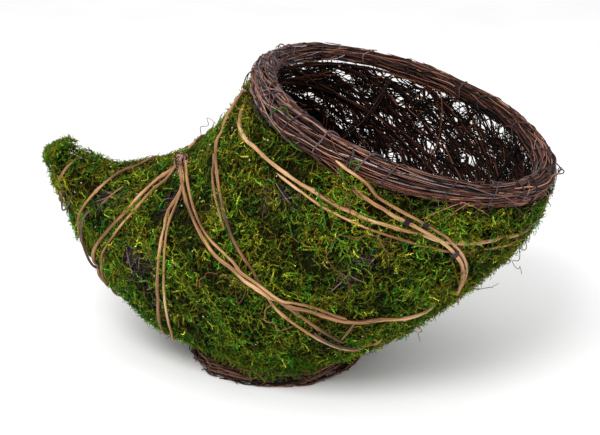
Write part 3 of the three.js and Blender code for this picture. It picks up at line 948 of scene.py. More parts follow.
def ribs(rng):
    for i in range(RIBS):
        angle = math.radians(FIRST_RIB + 360 // RIBS * i)
        batch = Batch()
        for k in range(3):
            s = np.linspace(0, RIB_END, RIB_POINTS)[None]
            a = angle + np.full_like(s, (k - 1) * 0.016) + 0.006 * np.sin(s * 60 + k * 2)
            s = np.maximum(s, mouth_edge(a) - 6 * MM)
            depth = RIB_DEPTH - (k % 2) * 2 * MM + 0.6 * MM * np.sin(s * 90 + i + k)
            radii = np.full_like(s, RIB_RADIUS) * (1 - 0.3 * s / SPINE_LENGTH)
            batch.add_tubes(on_horn(s, a, depth), radii, outward(s, a), 6, rng.uniform(0.2, 0.7, 1))
        batch.build(f"rib_twigs_{i + 1}", FRAME_BARK_AND_SHADE, "frame_twig", [f"rib_{i + 1}"])


def hoops(rng):
    for i, station in enumerate(HOOP_STATIONS):
        batch = Batch()
        for k in range(HOOP_TWIGS):
            a = np.linspace(0, 2 * np.pi - 0.02, HOOP_POINTS)[None] + rng.uniform(0, 6)
            s = station + (k - 2.5) * 2.2 * MM + 3 * MM * np.sin(3 * a + k) + 2 * MM * np.sin(7 * a + 3 * k)
            s = np.maximum(s, mouth_edge(a) + 8 * MM)
            depth = HOOP_DEPTH + 1.2 * MM * np.sin(5 * a + 2 * k)
            radii = np.full_like(s, HOOP_RADIUS)
            batch.add_tubes(on_horn(s, a, depth), radii, outward(s, a), 5, rng.uniform(0.2, 0.7, 1))
        batch.build(f"hoop_twigs_{i + 1}", WALL_BARK_AND_SHADE, "frame_twig", [f"body_hoop_{i + 1}"])


def frame_sticks():
    """Lengthwise ribs and body hoops, each a few dark twigs side by side."""
    rng = np.random.default_rng(43)
    ribs(rng)
    hoops(rng)


# ---- Rim ---------------------------------------------------------------------------------------------
MOUTH_CENTRE = place(np.array(0.0), np.array(0.0), np.array(0.0))
MOUTH_OUT = -np.array([math.cos(MOUTH_HEADING), 0, math.sin(MOUTH_HEADING)])
MOUTH_X = np.array([-math.sin(MOUTH_HEADING), 0, math.cos(MOUTH_HEADING)])
MOUTH_Y = np.array([0.0, 1.0, 0.0])
RIM_INNER_TWIGS = 220
RIM_OUTER_TWIGS = 620
RIM_TANGLE_TWIGS = 300
RIM_TWIG_POINTS = 24
RIM_TAPER = ([0, 0.1, 0.8, 1], [0.9, 1, 0.85, 0.5])
RIM_STRANDS = 4  # three brown ones and a grey one
GREY_STRAND = 3


def rim_layer(spread, arc, winding, wave, radius, shade):
    """The twigs of a layer: how far from the bundle's middle (as a share), their lengths around the
    mouth in radians, how they wind around the bundle and ripple, radii in millimetres, and the shade's
    mean and spread."""
    return {"spread": spread, "arc": arc, "winding": winding, "wave": wave, "radius": radius, "shade": shade}


# The inner layer's low shade is painted shade inside the bundle.
RIM_INNER = rim_layer((0.15, 0.6), (0.6, 2.0), 0.8, 0.6 * MM, (0.7, 1.2), (0.35, 0.12))
RIM_OUTER = rim_layer((0.55, 1.0), (0.3, 1.3), 0.8, 0.7 * MM, (0.38, 0.75), (0.56, 0.28))
RIM_TANGLE = rim_layer((0.8, 1.1), (0.12, 0.5), 6.0, 1.0 * MM, (0.35, 0.6), (0.58, 0.28))


def ring_point(lap, reach, rise):
    """A point by its angle around the mouth, distance from the centre and height above the rim's plane."""
    flat = np.cos(lap)[..., None] * MOUTH_X + np.sin(lap)[..., None] * MOUTH_Y
    return MOUTH_CENTRE + reach[..., None] * flat + rise[..., None] * MOUTH_OUT, flat


def lap_bump(lap, middle, width):
    """One at a place around the mouth, in degrees, falling smoothly to nothing away from it."""
    away = (np.degrees(lap) - middle + 180) % 360 - 180
    return np.exp(-((away / width) ** 2))


def rim_fullness(lap):
    """How thick the bundle is around the mouth: thin at the back, thick at the front on the left."""
    full = 1 - 0.36 * lap_bump(lap, 132, 42) + 0.24 * lap_bump(lap, 226, 34) - 0.1 * lap_bump(lap, 20, 40)
    return full + 0.05 * np.sin(3 * lap + 1) + 0.04 * np.sin(8 * lap)


def rim_reach(lap):
    """The bundle's middle, from the mouth's centre: a little less at the right end and on the left."""
    return RIM_RING_RADIUS - 3.0 * MM * lap_bump(lap, 25, 30) - 2.0 * MM * lap_bump(lap, 205, 30)


def bundle_paths(rng, laps, spread, arc, winding, wave):
    """Laps, offsets and depths of twigs laid along the rim, each wandering around the bundle's middle."""
    n = len(laps)
    t = np.linspace(-0.5, 0.5, RIM_TWIG_POINTS)
    lap = laps[:, None] + column(rng, *arc, n) * t
    turning = rng.normal(0, winding, n)[:, None]
    swing = column(rng, 0, 2 * np.pi, n) + turning * (lap - lap.mean(1)[:, None])
    share = np.sqrt(rng.uniform(*spread, n))
    ripple = [np.sin(lap * column(rng, 6, 24, n) + column(rng, 0, 6, n)) for _ in range(2)]
    flare = np.minimum(rng.exponential(0.8, n), 3)[:, None] * MM
    out = RIM_BUNDLE_RADIUS * rim_fullness(lap) * share[:, None]
    out = out + wave * ripple[0] + flare * np.abs(2 * t) ** 5
    swing = swing + wave / RIM_BUNDLE_RADIUS * ripple[1]
    return lap, rim_reach(lap) + out * np.cos(swing), out * np.sin(swing), share


def add_rim_twigs(batches, rng, laps, radius, shade, **lie):
    """Adds a layer's twigs to the brown batches and the grey one. More are grey on the left and right. Twigs
    deep in the bundle and at the back of the mouth get painted shade.
    """
    n = len(laps)
    lap, reach, rise, share = bundle_paths(rng, laps, **lie)
    paths, flat = ring_point(lap, reach, rise)
    ups = unit(flat * (reach - rim_reach(lap))[..., None] + rise[..., None] * MOUTH_OUT)
    ups = unit(ups + 0.3 * MOUTH_OUT)
    taper = np.interp(steps(RIM_TWIG_POINTS), *RIM_TAPER)
    radii = column(rng, *radius, n) * MM * taper
    # Painted shade: darker with depth in the bundle, and darker at the back of the mouth.
    shades = rng.normal(*shade, n) - 1.4 * (1 - np.minimum(share, 1)) - 0.22 * lap_bump(laps, 90, 60)
    shades = np.clip(shades, -0.1, 1)
    greyness = 0.12 + 0.5 * lap_bump(laps, 190, 40) + 0.25 * lap_bump(laps, 335, 50)
    kind = np.where(rng.uniform(size=n) < greyness, GREY_STRAND, rng.integers(0, GREY_STRAND, n))
    for k, batch in enumerate(batches):
        pick = kind == k
        batch.add_tubes(paths[pick], radii[pick], ups[pick], 5, shades[pick])


def rim_core():
    core = Batch()
    lap = np.linspace(0, 2 * np.pi - 0.01, 120)[None]
    reach = RIM_RING_RADIUS + 1.0 * MM * np.sin(lap * 6)
    path, flat = ring_point(lap, reach, 1.0 * MM * np.cos(lap * 7))
    core.add_tubes(path, np.full_like(lap, 3.2 * MM), flat, 8, [0.3])
    core.build("rim_core_stick", FRAME_BARK_AND_SHADE, "frame_twig", ["rim_core_hoop"])


def rim_bundle():
    """The rim's twigs: a thick inner layer, a fine outer one and a tangle, densest on the left."""
    rng = np.random.default_rng(51)
    batches = [Batch() for _ in range(RIM_STRANDS)]
    add_rim_twigs(batches, rng, rng.uniform(0, 2 * np.pi, RIM_INNER_TWIGS), **RIM_INNER)
    add_rim_twigs(batches, rng, rng.uniform(0, 2 * np.pi, RIM_OUTER_TWIGS), **RIM_OUTER)
    n = RIM_TANGLE_TWIGS
    tangled = rng.uniform(size=n) < 0.5
    laps = np.where(tangled, rng.normal(3.4, 0.5, n), rng.uniform(0, 2 * np.pi, n))
    add_rim_twigs(batches, rng, laps, **RIM_TANGLE)
    for k, batch in enumerate(batches):
        bark = RIM_GREY_BARK if k == GREY_STRAND else RIM_BARK
        batch.build(f"rim_twigs_{k + 1}", bark, "rim_twig", [f"rim_strand_{k + 1}"])
    rim_strays()
    rim_core()


RIM_LOOPS = 14
RIM_STRAYS = 34
STRAY_POINTS = 16
RIM_CURLS = (8, 96, 158, 262)  # degrees around the mouth
CURL_POINTS = 40
CURL_RADIUS = 3.2 * MM
CURL_OFFSET = 11.5 * MM  # of a curl's start, from the bundle's middle


def add_rim_loops(batch, rng):
    """Twigs that bow out of the bundle and go back into it."""
    n, t = RIM_LOOPS, steps(STRAY_POINTS)
    lap = column(rng, 0, 2 * np.pi, n) + column(rng, 0.12, 0.3, n) * t
    swing = column(rng, -0.6, 2.2, n) + rng.normal(0, 0.6, n)[:, None] * t
    out = RIM_BUNDLE_RADIUS * rim_fullness(lap) * 0.85 + column(rng, 2, 5, n) * MM * np.sin(np.pi * t)
    paths, flat = ring_point(lap, RIM_RING_RADIUS + out * np.cos(swing), out * np.sin(swing))
    batch.add_tubes(paths, column(rng, 0.45, 0.8, n) * MM, flat, 5, rng.uniform(0.2, 0.7, n))


def add_rim_ends(batch, rng):
    """Twigs that leave the bundle and lie on the moss."""
    n, t = RIM_STRAYS, steps(STRAY_POINTS)
    sway = rng.choice([-1, 1], n) * rng.uniform(0.12, 0.4, n)
    a = column(rng, 0, 2 * np.pi, n) + sway[:, None] * t
    s = mouth_edge(a) - 7 * MM + column(rng, 8, 24, n) * MM * t**1.6
    lift = 1 * MM + column(rng, 0.5, 3, n) * MM * np.sin(np.pi * t * column(rng, 0.6, 1.2, n))
    radii = column(rng, 0.35, 0.65, n) * MM * np.interp(t, [0, 0.7, 1], [1, 0.9, 0.5])
    batch.add_tubes(on_horn(s, a, lift), radii, outward(s, a), 5, rng.uniform(0.1, 0.8, n))


def add_rim_curls(batch):
    """Tight curls beside the bundle."""
    for degrees in RIM_CURLS:
        turn = np.linspace(0, 3.4 * np.pi, CURL_POINTS)
        curl = CURL_RADIUS * (1 - 0.12 * turn / np.pi)
        lap = math.radians(degrees) + 0.02 * turn / np.pi
        reach = RIM_RING_RADIUS + CURL_OFFSET + curl * (1 - np.cos(turn))
        path, flat = ring_point(lap[None], reach[None], (curl * np.sin(turn))[None])
        batch.add_tubes(path, np.linspace(0.7, 0.4, CURL_POINTS)[None] * MM, flat, 5, [0.35])


def rim_strays():
    """Loose twigs of the rim: bowed loops, ends that lie on the moss and a few tight curls."""
    rng = np.random.default_rng(52)
    batch = Batch()
    add_rim_loops(batch, rng)
    add_rim_ends(batch, rng)
    add_rim_curls(batch)
    batch.build("rim_loose_twigs", RIM_BARK, "rim_twig")


LASHING_TURNS = [63, 77, 119, 143, 162, 200, 241, 262, 280, 302, 319, 340]  # degrees around the mouth
EXTRA_LASHING_TURNS = [15, 40, 102, 182, 222, 252, 270, 330]
LASHING_POINTS = 44
LASHING_RADIUS = 0.8 * MM


def rim_lashings():
    """Dark split twigs wound once around the bundle, slightly aslant."""
    rng = np.random.default_rng(53)
    for i, degrees in enumerate(LASHING_TURNS + EXTRA_LASHING_TURNS):
        around = np.linspace(0, 2 * np.pi * 1.04, LASHING_POINTS)[None] + rng.uniform(0, 6)
        middle = math.radians(degrees)
        lap = middle - rng.uniform(-0.02, 0.1) * np.cos(around) + 0.012 * np.sin(3 * around)
        full = RIM_BUNDLE_RADIUS * rim_fullness(lap)
        out = full + 0.6 * MM + 0.5 * MM * np.sin(2 * around + i)
        path, flat = ring_point(lap, rim_reach(lap) + out * np.cos(around), out * np.sin(around))
        ups = np.cos(around)[..., None] * flat + np.sin(around)[..., None] * MOUTH_OUT
        batch = Batch()
        batch.add_tubes(path, np.full_like(lap, LASHING_RADIUS), ups, 6, rng.uniform(0.3, 0.8, 1))
        replaced = [f"rim_lashing_{i + 1}"] if i < len(LASHING_TURNS) else []
        batch.build(f"lashing_twig_{i + 1}", LASHING_BARK, "lashing", replaced)


# ---- Foot --------------------------------------------------------------------------------------------
FOOT_TWIGS = 240  # in each coil
FOOT_TWIG_POINTS = 14
FOOT_BUNDLE_HALF_WIDTH = 7.0 * MM
FOOT_BUNDLE_HALF_HEIGHT = 6.2 * MM


def foot_coil(k, name):
    """A coil of the foot: twigs laid along the ring, each winding around the coil's middle."""
    rng = np.random.default_rng(61 + k)
    n = FOOT_TWIGS
    t = np.linspace(-0.5, 0.5, FOOT_TWIG_POINTS)
    lap = column(rng, 0, 2 * np.pi, n) + column(rng, 0.15, 1.0, n) * t
    swing = column(rng, 0, 2 * np.pi, n) + rng.normal(0, 4.0, n)[:, None] * (lap - lap[:, :1])
    out = np.sqrt(column(rng, 0.2, 1, n)) * (1 + 0.12 * np.sin(5 * lap + k) + 0.08 * np.sin(11 * lap))
    out = out + 0.13 * np.sin(lap * column(rng, 9, 30, n) + column(rng, 0, 6, n))
    out = out + rng.exponential(0.16, n)[:, None].clip(0, 0.6) * np.abs(2 * t) ** 4
    reach = FOOT_RING_RADIUS + FOOT_BUNDLE_HALF_WIDTH * out * np.cos(swing)
    z = (k + 0.5) * FOOT_COIL_HEIGHT + FOOT_BUNDLE_HALF_HEIGHT * out * np.sin(swing)
    radii = column(rng, 0.4, 0.95, n) * MM * np.interp(t + 0.5, *RIM_TAPER)
    z = np.maximum(z, radii + 0.1 * MM)
    flat = np.stack([np.cos(lap), np.sin(lap), np.zeros_like(lap)], -1)
    paths = FOOT_AXIS + reach[..., None] * flat + z[..., None] * np.array([0, 0, 1.0])
    ups = unit(flat * (reach - FOOT_RING_RADIUS)[..., None] + np.array([0, 0, 0.002]))
    batch = Batch()
    batch.add_tubes(paths, radii, ups, 5, np.clip(rng.normal(0.5, 0.32, n), 0, 1))
    batch.build(f"foot_twigs_{k + 1}", FOOT_BARK, "foot_twig", [name])


def foot_bundles():
    for k, name in enumerate(("foot_coil_lower", "foot_coil_upper")):
        foot_coil(k, name)


# ---- Vines -------------------------------------------------------------------------------------------
VINE_LIFT = 3.2
OVER = 8  # lift of a vine that passes over another, in millimetres
SUNK = -4  # lift of a vine where the moss has grown over it
VINES = {
    "vine_tail_tip_band": [
        (424, 205), (431, 182), (434, 162), (435, 123), (432, 92), (427, 72),
        (420, 40), (416, 5), (414, -35), (416, -80), (420, -125),
    ],
    "vine_tail_wrap": [
        (352, 240), (357, 212), (361, 190), (368, 172), (381, 160), (390, 133), (393, 98),
        (390, 76), (383, 58), (375, 40), (366, 15), (358, -15), (352, -45), (347, -72),
    ],
    "vine_knot_tail_upper": [
        (301, 156), (322, 148), (337, 133), (343, 121), (351, 107), (359, 84), (361, 66), (357, 50),
        (347, 25), (335, -8), (325, -45), (317, -85), (309, -125), (300, -160), (295, -186),
    ],
    "vine_knot_tail_lower": [
        (304, 148), (322, 139), (337, 118), (343, 107), (348, 92), (351, 76), (349, 60), (343, 43),
        (334, 22), (323, -10), (313, -45), (305, -85), (298, -125), (288, -160), (283, -184),
    ],
    "vine_waist_rear": [
        (284, 147), (281, 135), (281, 125), (283, 113), (283, 89), (283, 77), (284, 58), (286, 34),
        (289, 10), (288, -20), (285, -60), (281, -100), (276, -140), (273, -172),
    ],
    "vine_waist_front": [
        (272, 134), (276, 118), (275, 91), (275, 56), (279, 34),
        (283, 12), (282, -20), (277, -60), (272, -100), (266, -140), (262, -172),
    ],
    "vine_belly_outer": [
        (277, 152), (268, 140), (241, 125), (224, 115), (204, 104), (188, 98),
        (176, 93, OVER), (166, 88.5, OVER), (154, 80, OVER), (138, 72),
        (121, 58), (108, 51), (99, 43), (92, 38), (84, 26, SUNK), (76, 10, SUNK), (69, -10, SUNK), (62, -35),
        (58, -60), (60, -85), (66, -110), (76, -135), (85, -160),
    ],
    "vine_belly_inner": [
        (262, 143), (250, 136), (212, 112.5), (190, 103.5), (177, 97, OVER),
        (164, 90.5, OVER), (150, 80.7, OVER), (136, 74), (122, 62),
    ],
    "vine_valley_long": [
        (46, 160), (57, 163), (90, 163), (123, 162), (160, 160), (187, 152), (182, 140), (177, 123),
        (174, 110), (168, 100), (165, 93), (162, 86), (150, 74), (144, 62), (142, 49),
    ],
    "vine_valley_short": [
        (194, 147), (192, 136), (187, 124), (183, 113),
    ],
    "vine_foot_hook": [
        (163, 78), (158, 70), (152, 59), (147, 47), (142, 38), (134, 35), (125, 37),
    ],
    "vine_shoulder_outer": [
        (62, 154), (80, 151), (93, 146), (88, 139), (74, 132), (62, 121), (52, 108), (47, 99),
        (41, 85), (37, 76), (34, 66), (33, 55), (30, 44), (27, 33), (25, 21), (23, 0),
        (23, -30), (26, -65), (31, -100), (38, -130), (46, -155),
    ],
    "vine_shoulder_inner": [
        (66, 118), (59, 107), (56, 99), (51, 90), (43, 71), (40, 56), (36.5, 43), (32, 27), (31, 12),
    ],
    "vine_rim_stem_outer": [
        (18.5, 93), (23, 89), (27, 80), (28.5, 70), (32, 58, OVER), (41, 48, OVER),
        (54, 39), (64, 34), (74, 29),
    ],
    "vine_rim_stem_inner": [
        (18.5, 84), (21, 77), (24, 67), (27, 59, OVER), (31, 51.5, OVER),
        (38, 45, OVER), (50, 36), (62, 27),
    ],
}
VINE_LOOKS = {  # how thick each vine is, in millimetres, and how pale at its start and end
    "vine_tail_tip_band": (1.35, 0.32, 0.3),
    "vine_tail_wrap": (1.45, 0.5, 0.3),
    "vine_knot_tail_upper": (1.8, 0.45, 0.9),
    "vine_knot_tail_lower": (1.35, 0.5, 0.3),
    "vine_waist_rear": (1.55, 0.6, 0.4),
    "vine_waist_front": (1.25, 0.65, 0.65),
    "vine_belly_outer": (1.8, 0.5, 0.75),
    "vine_belly_inner": (1.4, 0.62, 0.5),
    "vine_valley_long": (1.6, 0.55, 0.12),
    "vine_valley_short": (1.3, 0.6, 0.5),
    "vine_foot_hook": (1.35, 0.66, 0.6),
    "vine_shoulder_outer": (1.85, 0.66, 0.8),
    "vine_shoulder_inner": (1.2, 0.62, 0.45),
    "vine_rim_stem_outer": (1.8, 0.66, 0.62),
    "vine_rim_stem_inner": (1.5, 0.62, 0.5),
}
LEADS = {  # how a vine runs out of the knot: the route's first places left out, and those used instead
    "vine_belly_outer": (2, [(291, 162, 7), (281, 150, 5.5), (265.5, 139.5, 5.5), (252, 131)]),
    "vine_belly_inner": (1, [(290, 163, 6), (271, 151, 5), (259, 142.5, 4)]),
    "vine_waist_rear": (2, [(291, 160, 7), (280.5, 149, 5), (265.5, 139, 4.5), (273, 131)]),
    "vine_waist_front": (1, [(290, 160, 5), (278, 149.5, 4.5), (264, 138.5, 4), (268, 130)]),
    "vine_knot_tail_upper": (0, [(292, 162, 7)]),
    "vine_knot_tail_lower": (0, [(292, 160, 6)]),
    "vine_foot_hook": (0, [(169, 91, 2.5), (165, 86, 3)]),
    "vine_rim_stem_inner": (
        8,
        [
            (1.7, 100.6, 8), (5, 96.3, 7.5), (7.5, 92.2, 7), (12, 88, 4.5), (18.5, 84), (21, 77), (24, 67),
            (27.5, 58.5, OVER), (32, 53.2, OVER), (37.5, 48, OVER), (49.5, 39.5), (58.8, 35), (67, 31.5),
        ],
    ),
}
EXTRA_TWIGS = [  # small side shoots and companion strands: the route, its radius, whether it is dark
    ([(121, 58, 3), (130, 56, 4), (138, 54, 5)], 1.2, False),
    ([(25, 89, 4), (22, 91, 6), (20, 92, 9)], 1.3, False),
    ([(384, 100), (386, 90), (382, 72), (375, 55), (366, 38), (357, 12), (350, -20)], 1.4, True),
    ([(8, 100, 7), (18, 96, 5), (33, 92, 4), (45, 89, 2)], 0.6, True),
    ([(424, 84, 1), (414, 60, 4), (409, 55, 6), (407, 70, 3), (410, 90, 1)], 1.0, True),
    ([(366, 140, 1), (374, 124, 3), (378, 112, 1)], 0.7, False),
    ([(28, 24, 3), (19, 18, 6), (13, 14, 10)], 1.2, True),
    ([(150, 62, 2), (147, 54, 4), (142, 45, 4), (139, 40, 2)], 1.4, True),
    ([(150, 236, 2), (170, 228, 4), (196, 232, 3), (214, 240, 1)], 1.1, True),
    ([(80, 250, 2), (96, 262, 4), (110, 280, 3), (118, 300, 1)], 1.0, True),
]
ROOTS = [  # thin reddish roots lying loosely on the moss
    [(66, 88, 1), (76, 88, 5), (92, 84, 6), (92, 77, 5), (104, 69, 1)],
    [(65, 87, 1), (59, 83, 5), (49, 80, 5), (48, 75, 4), (46, 70, 1)],
    [(48, 78, 1), (54, 73, 5), (55, 69, 3)],
    [(232, 91, 3), (225, 96, 6), (213, 98, 6), (206, 97, 3)],
    [(204, 96, 3), (195, 96, 6), (190, 94, 6), (177, 91, 5), (180, 89, 6), (193, 84.6, 6), (190, 91, 3)],
    [(162, 81, 3), (171, 79.6, 6), (176, 76, 5), (171, 74, 6), (171, 70, 5), (159, 69, 2)],
    [(175, 268, 2), (184, 276, 6), (198, 274, 5), (206, 264, 2)],
    [(90, 310, 2), (98, 318, 6), (112, 320, 5), (120, 312, 2)],
    [(300, 200, 2), (288, 208, 6), (280, 222, 5), (286, 232, 2)],
]
TIES = [("vine_rim_stem_outer", 0.59), ("vine_rim_stem_outer", 0.3), ("vine_rim_stem_inner", 0.3)]
TENDRILS = {
    "tendril_mouth_side": [(68, 24, -2), (70, 17, 5), (67, 13, 10), (68, 10, 12), (65, 8, 13)],
    "tendril_mouth_drop": [(32, 10, -2), (36, 9, 6), (44, 6, 6), (52, 6, 10), (54, 2, 18), (58, 0, 24)],
    "tendril_belly_drop": [(102, 34, 2), (106, 30, 8), (110, 29, 15)],
    "tendril_waist_arc": [(276, 168, 2), (262, 172, 10), (235, 171, 12), (210, 167, 3)],
}

SPLINE_STEPS = 40  # between two places of a route
ROUTE_STEP = 2.0 * MM
SHORTEST_ROUTE = 12  # steps


def spline_piece(p0, p1, p2, p3):
    """Points of a centripetal Catmull-Rom curve from p1 up to p2."""
    t0 = 0.0
    t1 = t0 + np.linalg.norm(p1 - p0) ** 0.5
    t2 = t1 + np.linalg.norm(p2 - p1) ** 0.5
    t3 = t2 + np.linalg.norm(p3 - p2) ** 0.5
    t = np.linspace(t1, t2, SPLINE_STEPS, endpoint=False)[:, None]
    a1 = (t1 - t) / (t1 - t0) * p0 + (t - t0) / (t1 - t0) * p1
    a2 = (t2 - t) / (t2 - t1) * p1 + (t - t1) / (t2 - t1) * p2
    a3 = (t3 - t) / (t3 - t2) * p2 + (t - t2) / (t3 - t2) * p3
    b1 = (t2 - t) / (t2 - t0) * a1 + (t - t0) / (t2 - t0) * a2
    b2 = (t3 - t) / (t3 - t1) * a2 + (t - t1) / (t3 - t1) * a3
    return (t2 - t) / (t2 - t1) * b1 + (t - t1) / (t2 - t1) * b2


def smooth_route(route, count=None):
    """Stations, angles, lifts and distances of even points along a curve through a route's places."""
    points = np.array([(*p, VINE_LIFT)[:3] for p in route], float)
    padded = np.concatenate([[2 * points[0] - points[1]], points, [2 * points[-1] - points[-2]]])
    pieces = [spline_piece(*padded[i : i + 4]) for i in range(len(points) - 1)]
    fine = np.concatenate([*pieces, points[-1:]])
    s, a, lift = fine[:, 0] * MM, np.radians(fine[:, 1]), fine[:, 2] * MM
    spots = on_horn(s, a, lift)
    run = np.concatenate([[0], np.linalg.norm(np.diff(spots, axis=0), axis=1).cumsum()])
    even = np.linspace(0, run[-1], count or max(int(run[-1] / ROUTE_STEP), SHORTEST_ROUTE))
    return [np.interp(even, run, line) for line in (s, a, lift)] + [even]


VINE_BEDDING = 2.4 * MM  # how far vines are pressed into the moss
VINE_JOINTS = 40  # more than the longest vine has
VINE_JOINT_SPACING = (18, 45)  # in millimetres
JOINT_WIDTH = 1.9 * MM
DIP_SPACING = 0.12  # metres of vine for each place where it dips into the moss
DIP_DEPTH = 2.6 * MM
DIP_WIDTH = 7 * MM
VINE_END = 8 * MM  # length over which a vine's end thins


def bump_at(run, middle, width):
    return np.exp(-(((run - middle) / width) ** 2))


def vine_line(rng, s, a, lift, run, joints):
    """Angles and lifts of a vine with kinks at its joints, which dips into the moss in some places."""
    kinks = [np.interp(run, joints, rng.uniform(-1, 1, VINE_JOINTS + 1)) for _ in range(2)]
    lift = lift - VINE_BEDDING + 0.9 * MM * kinks[0] + 0.4 * MM * np.sin(run * 70 + rng.uniform(0, 6))
    for dip in rng.uniform(0.12, 0.9, max(int(run[-1] / DIP_SPACING), 1)):
        lift = lift - DIP_DEPTH * bump_at(run, dip * run[-1], DIP_WIDTH)
    return a + 0.9 * MM / np.maximum(moss_radius(s, a), 20 * MM) * kinks[1], lift


def vine_thickness(rng, radius, run, joints):
    """Radii along a vine: uneven, thicker at its joints and thin at its ends."""
    thick = radius * MM * (1 + 0.08 * np.sin(run * 160 + rng.uniform(0, 6)) + 0.07 * np.sin(run * 47))
    for joint in joints[1:][joints[1:] < run[-1]]:
        thick = thick + 0.4 * radius * MM * bump_at(run, joint, JOINT_WIDTH) * rng.uniform(0, 1)
    ends = np.minimum(np.minimum(run, run[-1] - run) / VINE_END, 1)
    return thick * (0.45 + 0.55 * ends)


def vine(name, route, rng):
    radius, *ends_shade = VINE_LOOKS[name]
    dropped, lead = LEADS.get(name, (0, []))
    s, a, lift, run = smooth_route(lead + route[dropped:])
    joints = np.concatenate([[0], np.cumsum(rng.uniform(*VINE_JOINT_SPACING, VINE_JOINTS) * MM)])
    a, lift = vine_line(rng, s, a, lift, run, joints)
    thick = vine_thickness(rng, radius, run, joints)
    shade = np.interp(run, [0, run[-1]], ends_shade)
    shade = shade + 0.14 * np.sin(run * 31 + rng.uniform(0, 6)) + 0.1 * np.sin(run * 83 + rng.uniform(0, 6))
    batch = Batch()
    batch.add_tubes(on_horn(s, a, lift)[None], thick[None], outward(s, a)[None], 8, shade)
    batch.build(f"{name}_stem", VINE_BARK, "vine", [name])


SHOOT_TAPER = ([0, 0.1, 0.8, 1], [0.7, 1, 0.9, 0.55])


def vine_shoots(rng):
    """Small side shoots and companion strands, pale ones and dark ones."""
    shoots = {False: Batch(), True: Batch()}
    for route, radius, dark in EXTRA_TWIGS:
        s, a, lift, run = smooth_route(route)
        path = on_horn(s, a, lift - 1.0 * MM + 0.4 * MM * np.sin(run * 90))[None]
        radii = radius * MM * np.interp(run / run[-1], *SHOOT_TAPER)[None]
        shoots[dark].add_tubes(path, radii, outward(s, a)[None], 7, rng.uniform(0.3, 0.6, 1))
    shoots[False].build("vine_shoots", VINE_BARK, "vine")
    shoots[True].build("vine_dark_shoots", DARK_VINE_BARK, "vine")


def vines():
    rng = np.random.default_rng(71)
    for name, route in VINES.items():
        vine(name, route, rng)
    vine_shoots(rng)


TIE_ROUTE_POINTS = 80
TIE_POINTS = 60
TIE_TURNING = 7 * np.pi
TIE_HALF_WIDTH = 3.6 * MM
TIE_HALF_LENGTH = 2.5  # along the vines, in millimetres
TIE_RADIUS = 0.6 * MM


def ties():
    """Dark thin twigs wound around pairs of vines."""
    rng = np.random.default_rng(72)
    batch = Batch()
    for name, share in TIES:
        s, a, lift, _ = smooth_route(VINES[name], TIE_ROUTE_POINTS)
        path = on_horn(s, a, lift - VINE_BEDDING)
        i = int(share * (TIE_ROUTE_POINTS - 1))
        way = unit(path[i + 1] - path[i - 1])
        across = unit(np.cross(way, outward(s, a)[i]))
        rise = np.cross(across, way)
        turn = np.linspace(0, TIE_TURNING, TIE_POINTS)[:, None]
        wide = TIE_HALF_WIDTH + 0.4 * MM * np.sin(turn * 1.7)
        loop = path[i] + wide * np.cos(turn) * across + wide * 0.85 * np.sin(turn) * rise
        loop = loop + way * np.linspace(-TIE_HALF_LENGTH, TIE_HALF_LENGTH, TIE_POINTS)[:, None] * MM
        radii = np.full((1, TIE_POINTS), TIE_RADIUS)
        ups = np.broadcast_to(way, (1, TIE_POINTS, 3))
        batch.add_tubes(loop[None], radii, ups, 6, rng.uniform(0.3, 0.6, 1))
    batch.build("vine_ties", LASHING_BARK, "vine")


CURLY_POINTS = 60
TENDRIL_RADIUS = 0.5 * MM
TENDRIL_CURL = 2.4 * MM
ROOT_RADIUS = 0.55 * MM
ROOT_CURL = 1.2 * MM
LOOSE_TURNING = 400  # radians per metre
TIGHT_TURNING = 700
TIGHT_TENDRILS = {"tendril_mouth_side"}


def curly(route, rng, radius, curl, turning=LOOSE_TURNING):
    """Path, radii and ups of a root that curls around its route."""
    s, a, lift, run = smooth_route(route, CURLY_POINTS)
    way = unit(rng.normal(size=3))
    other = unit(np.cross(way, [0.3, 0.2, 1]))
    swell = curl * np.sin(np.pi * run / run[-1])[:, None]
    turns = np.sin(run * turning * 1.05)[:, None] * way + np.cos(run * turning * 0.95)[:, None] * other
    path = on_horn(s, a, lift) + swell * turns
    return path[None], np.linspace(1.0, 0.5, CURLY_POINTS)[None] * radius, outward(s, a)[None]


def tendrils():
    rng = np.random.default_rng(73)
    for name, route in TENDRILS.items():
        batch = Batch()
        turning = TIGHT_TURNING if name in TIGHT_TENDRILS else LOOSE_TURNING
        root = curly(route, rng, TENDRIL_RADIUS, TENDRIL_CURL, turning)
        batch.add_tubes(*root, 5, rng.uniform(0.3, 0.6, 1))
        batch.build(f"{name}_root", ROOT_BARK, "tendril", [name])
    batch = Batch()
    for route in ROOTS:
        batch.add_tubes(*curly(route, rng, ROOT_RADIUS, ROOT_CURL), 5, rng.uniform(0.3, 0.7, 1))
    batch.build("loose_roots", ROOT_BARK, "tendril")


# ---- Knot --------------------------------------------------------------------------------------------
KNOT_PLACE = (284 * MM, math.radians(154.5), 4.5 * MM)
KNOT_HALF = np.array([6.5, 6.0, 9.5]) * MM
KNOT_FIBRES = 120
KNOT_ENDS = 56  # every second one hangs down, the others stand up
FIBRE_POINTS = 12


def add_knot_fibres(batch, rng, middle):
    """Fibres wound around the knot's middle."""
    n, t = KNOT_FIBRES, steps(FIBRE_POINTS)
    start = unit(rng.normal(size=(n, 3)))
    axis = unit(rng.normal(size=(n, 3)))
    turn = column(rng, 1.0, 3.0, n) * t
    side = np.cross(axis, start)
    spin = start[:, None] * np.cos(turn)[..., None] + side[:, None] * np.sin(turn)[..., None]
    size = column(rng, 0.5, 1.0, n)[..., None] * (1 + 0.2 * t[None, :, None] ** 3)
    paths = middle + spin * KNOT_HALF * size
    radii = column(rng, 0.35, 0.8, n) * MM
    batch.add_tubes(paths, radii, unit(spin + 0.01), 4, np.clip(rng.normal(0.58, 0.3, n), 0, 1))


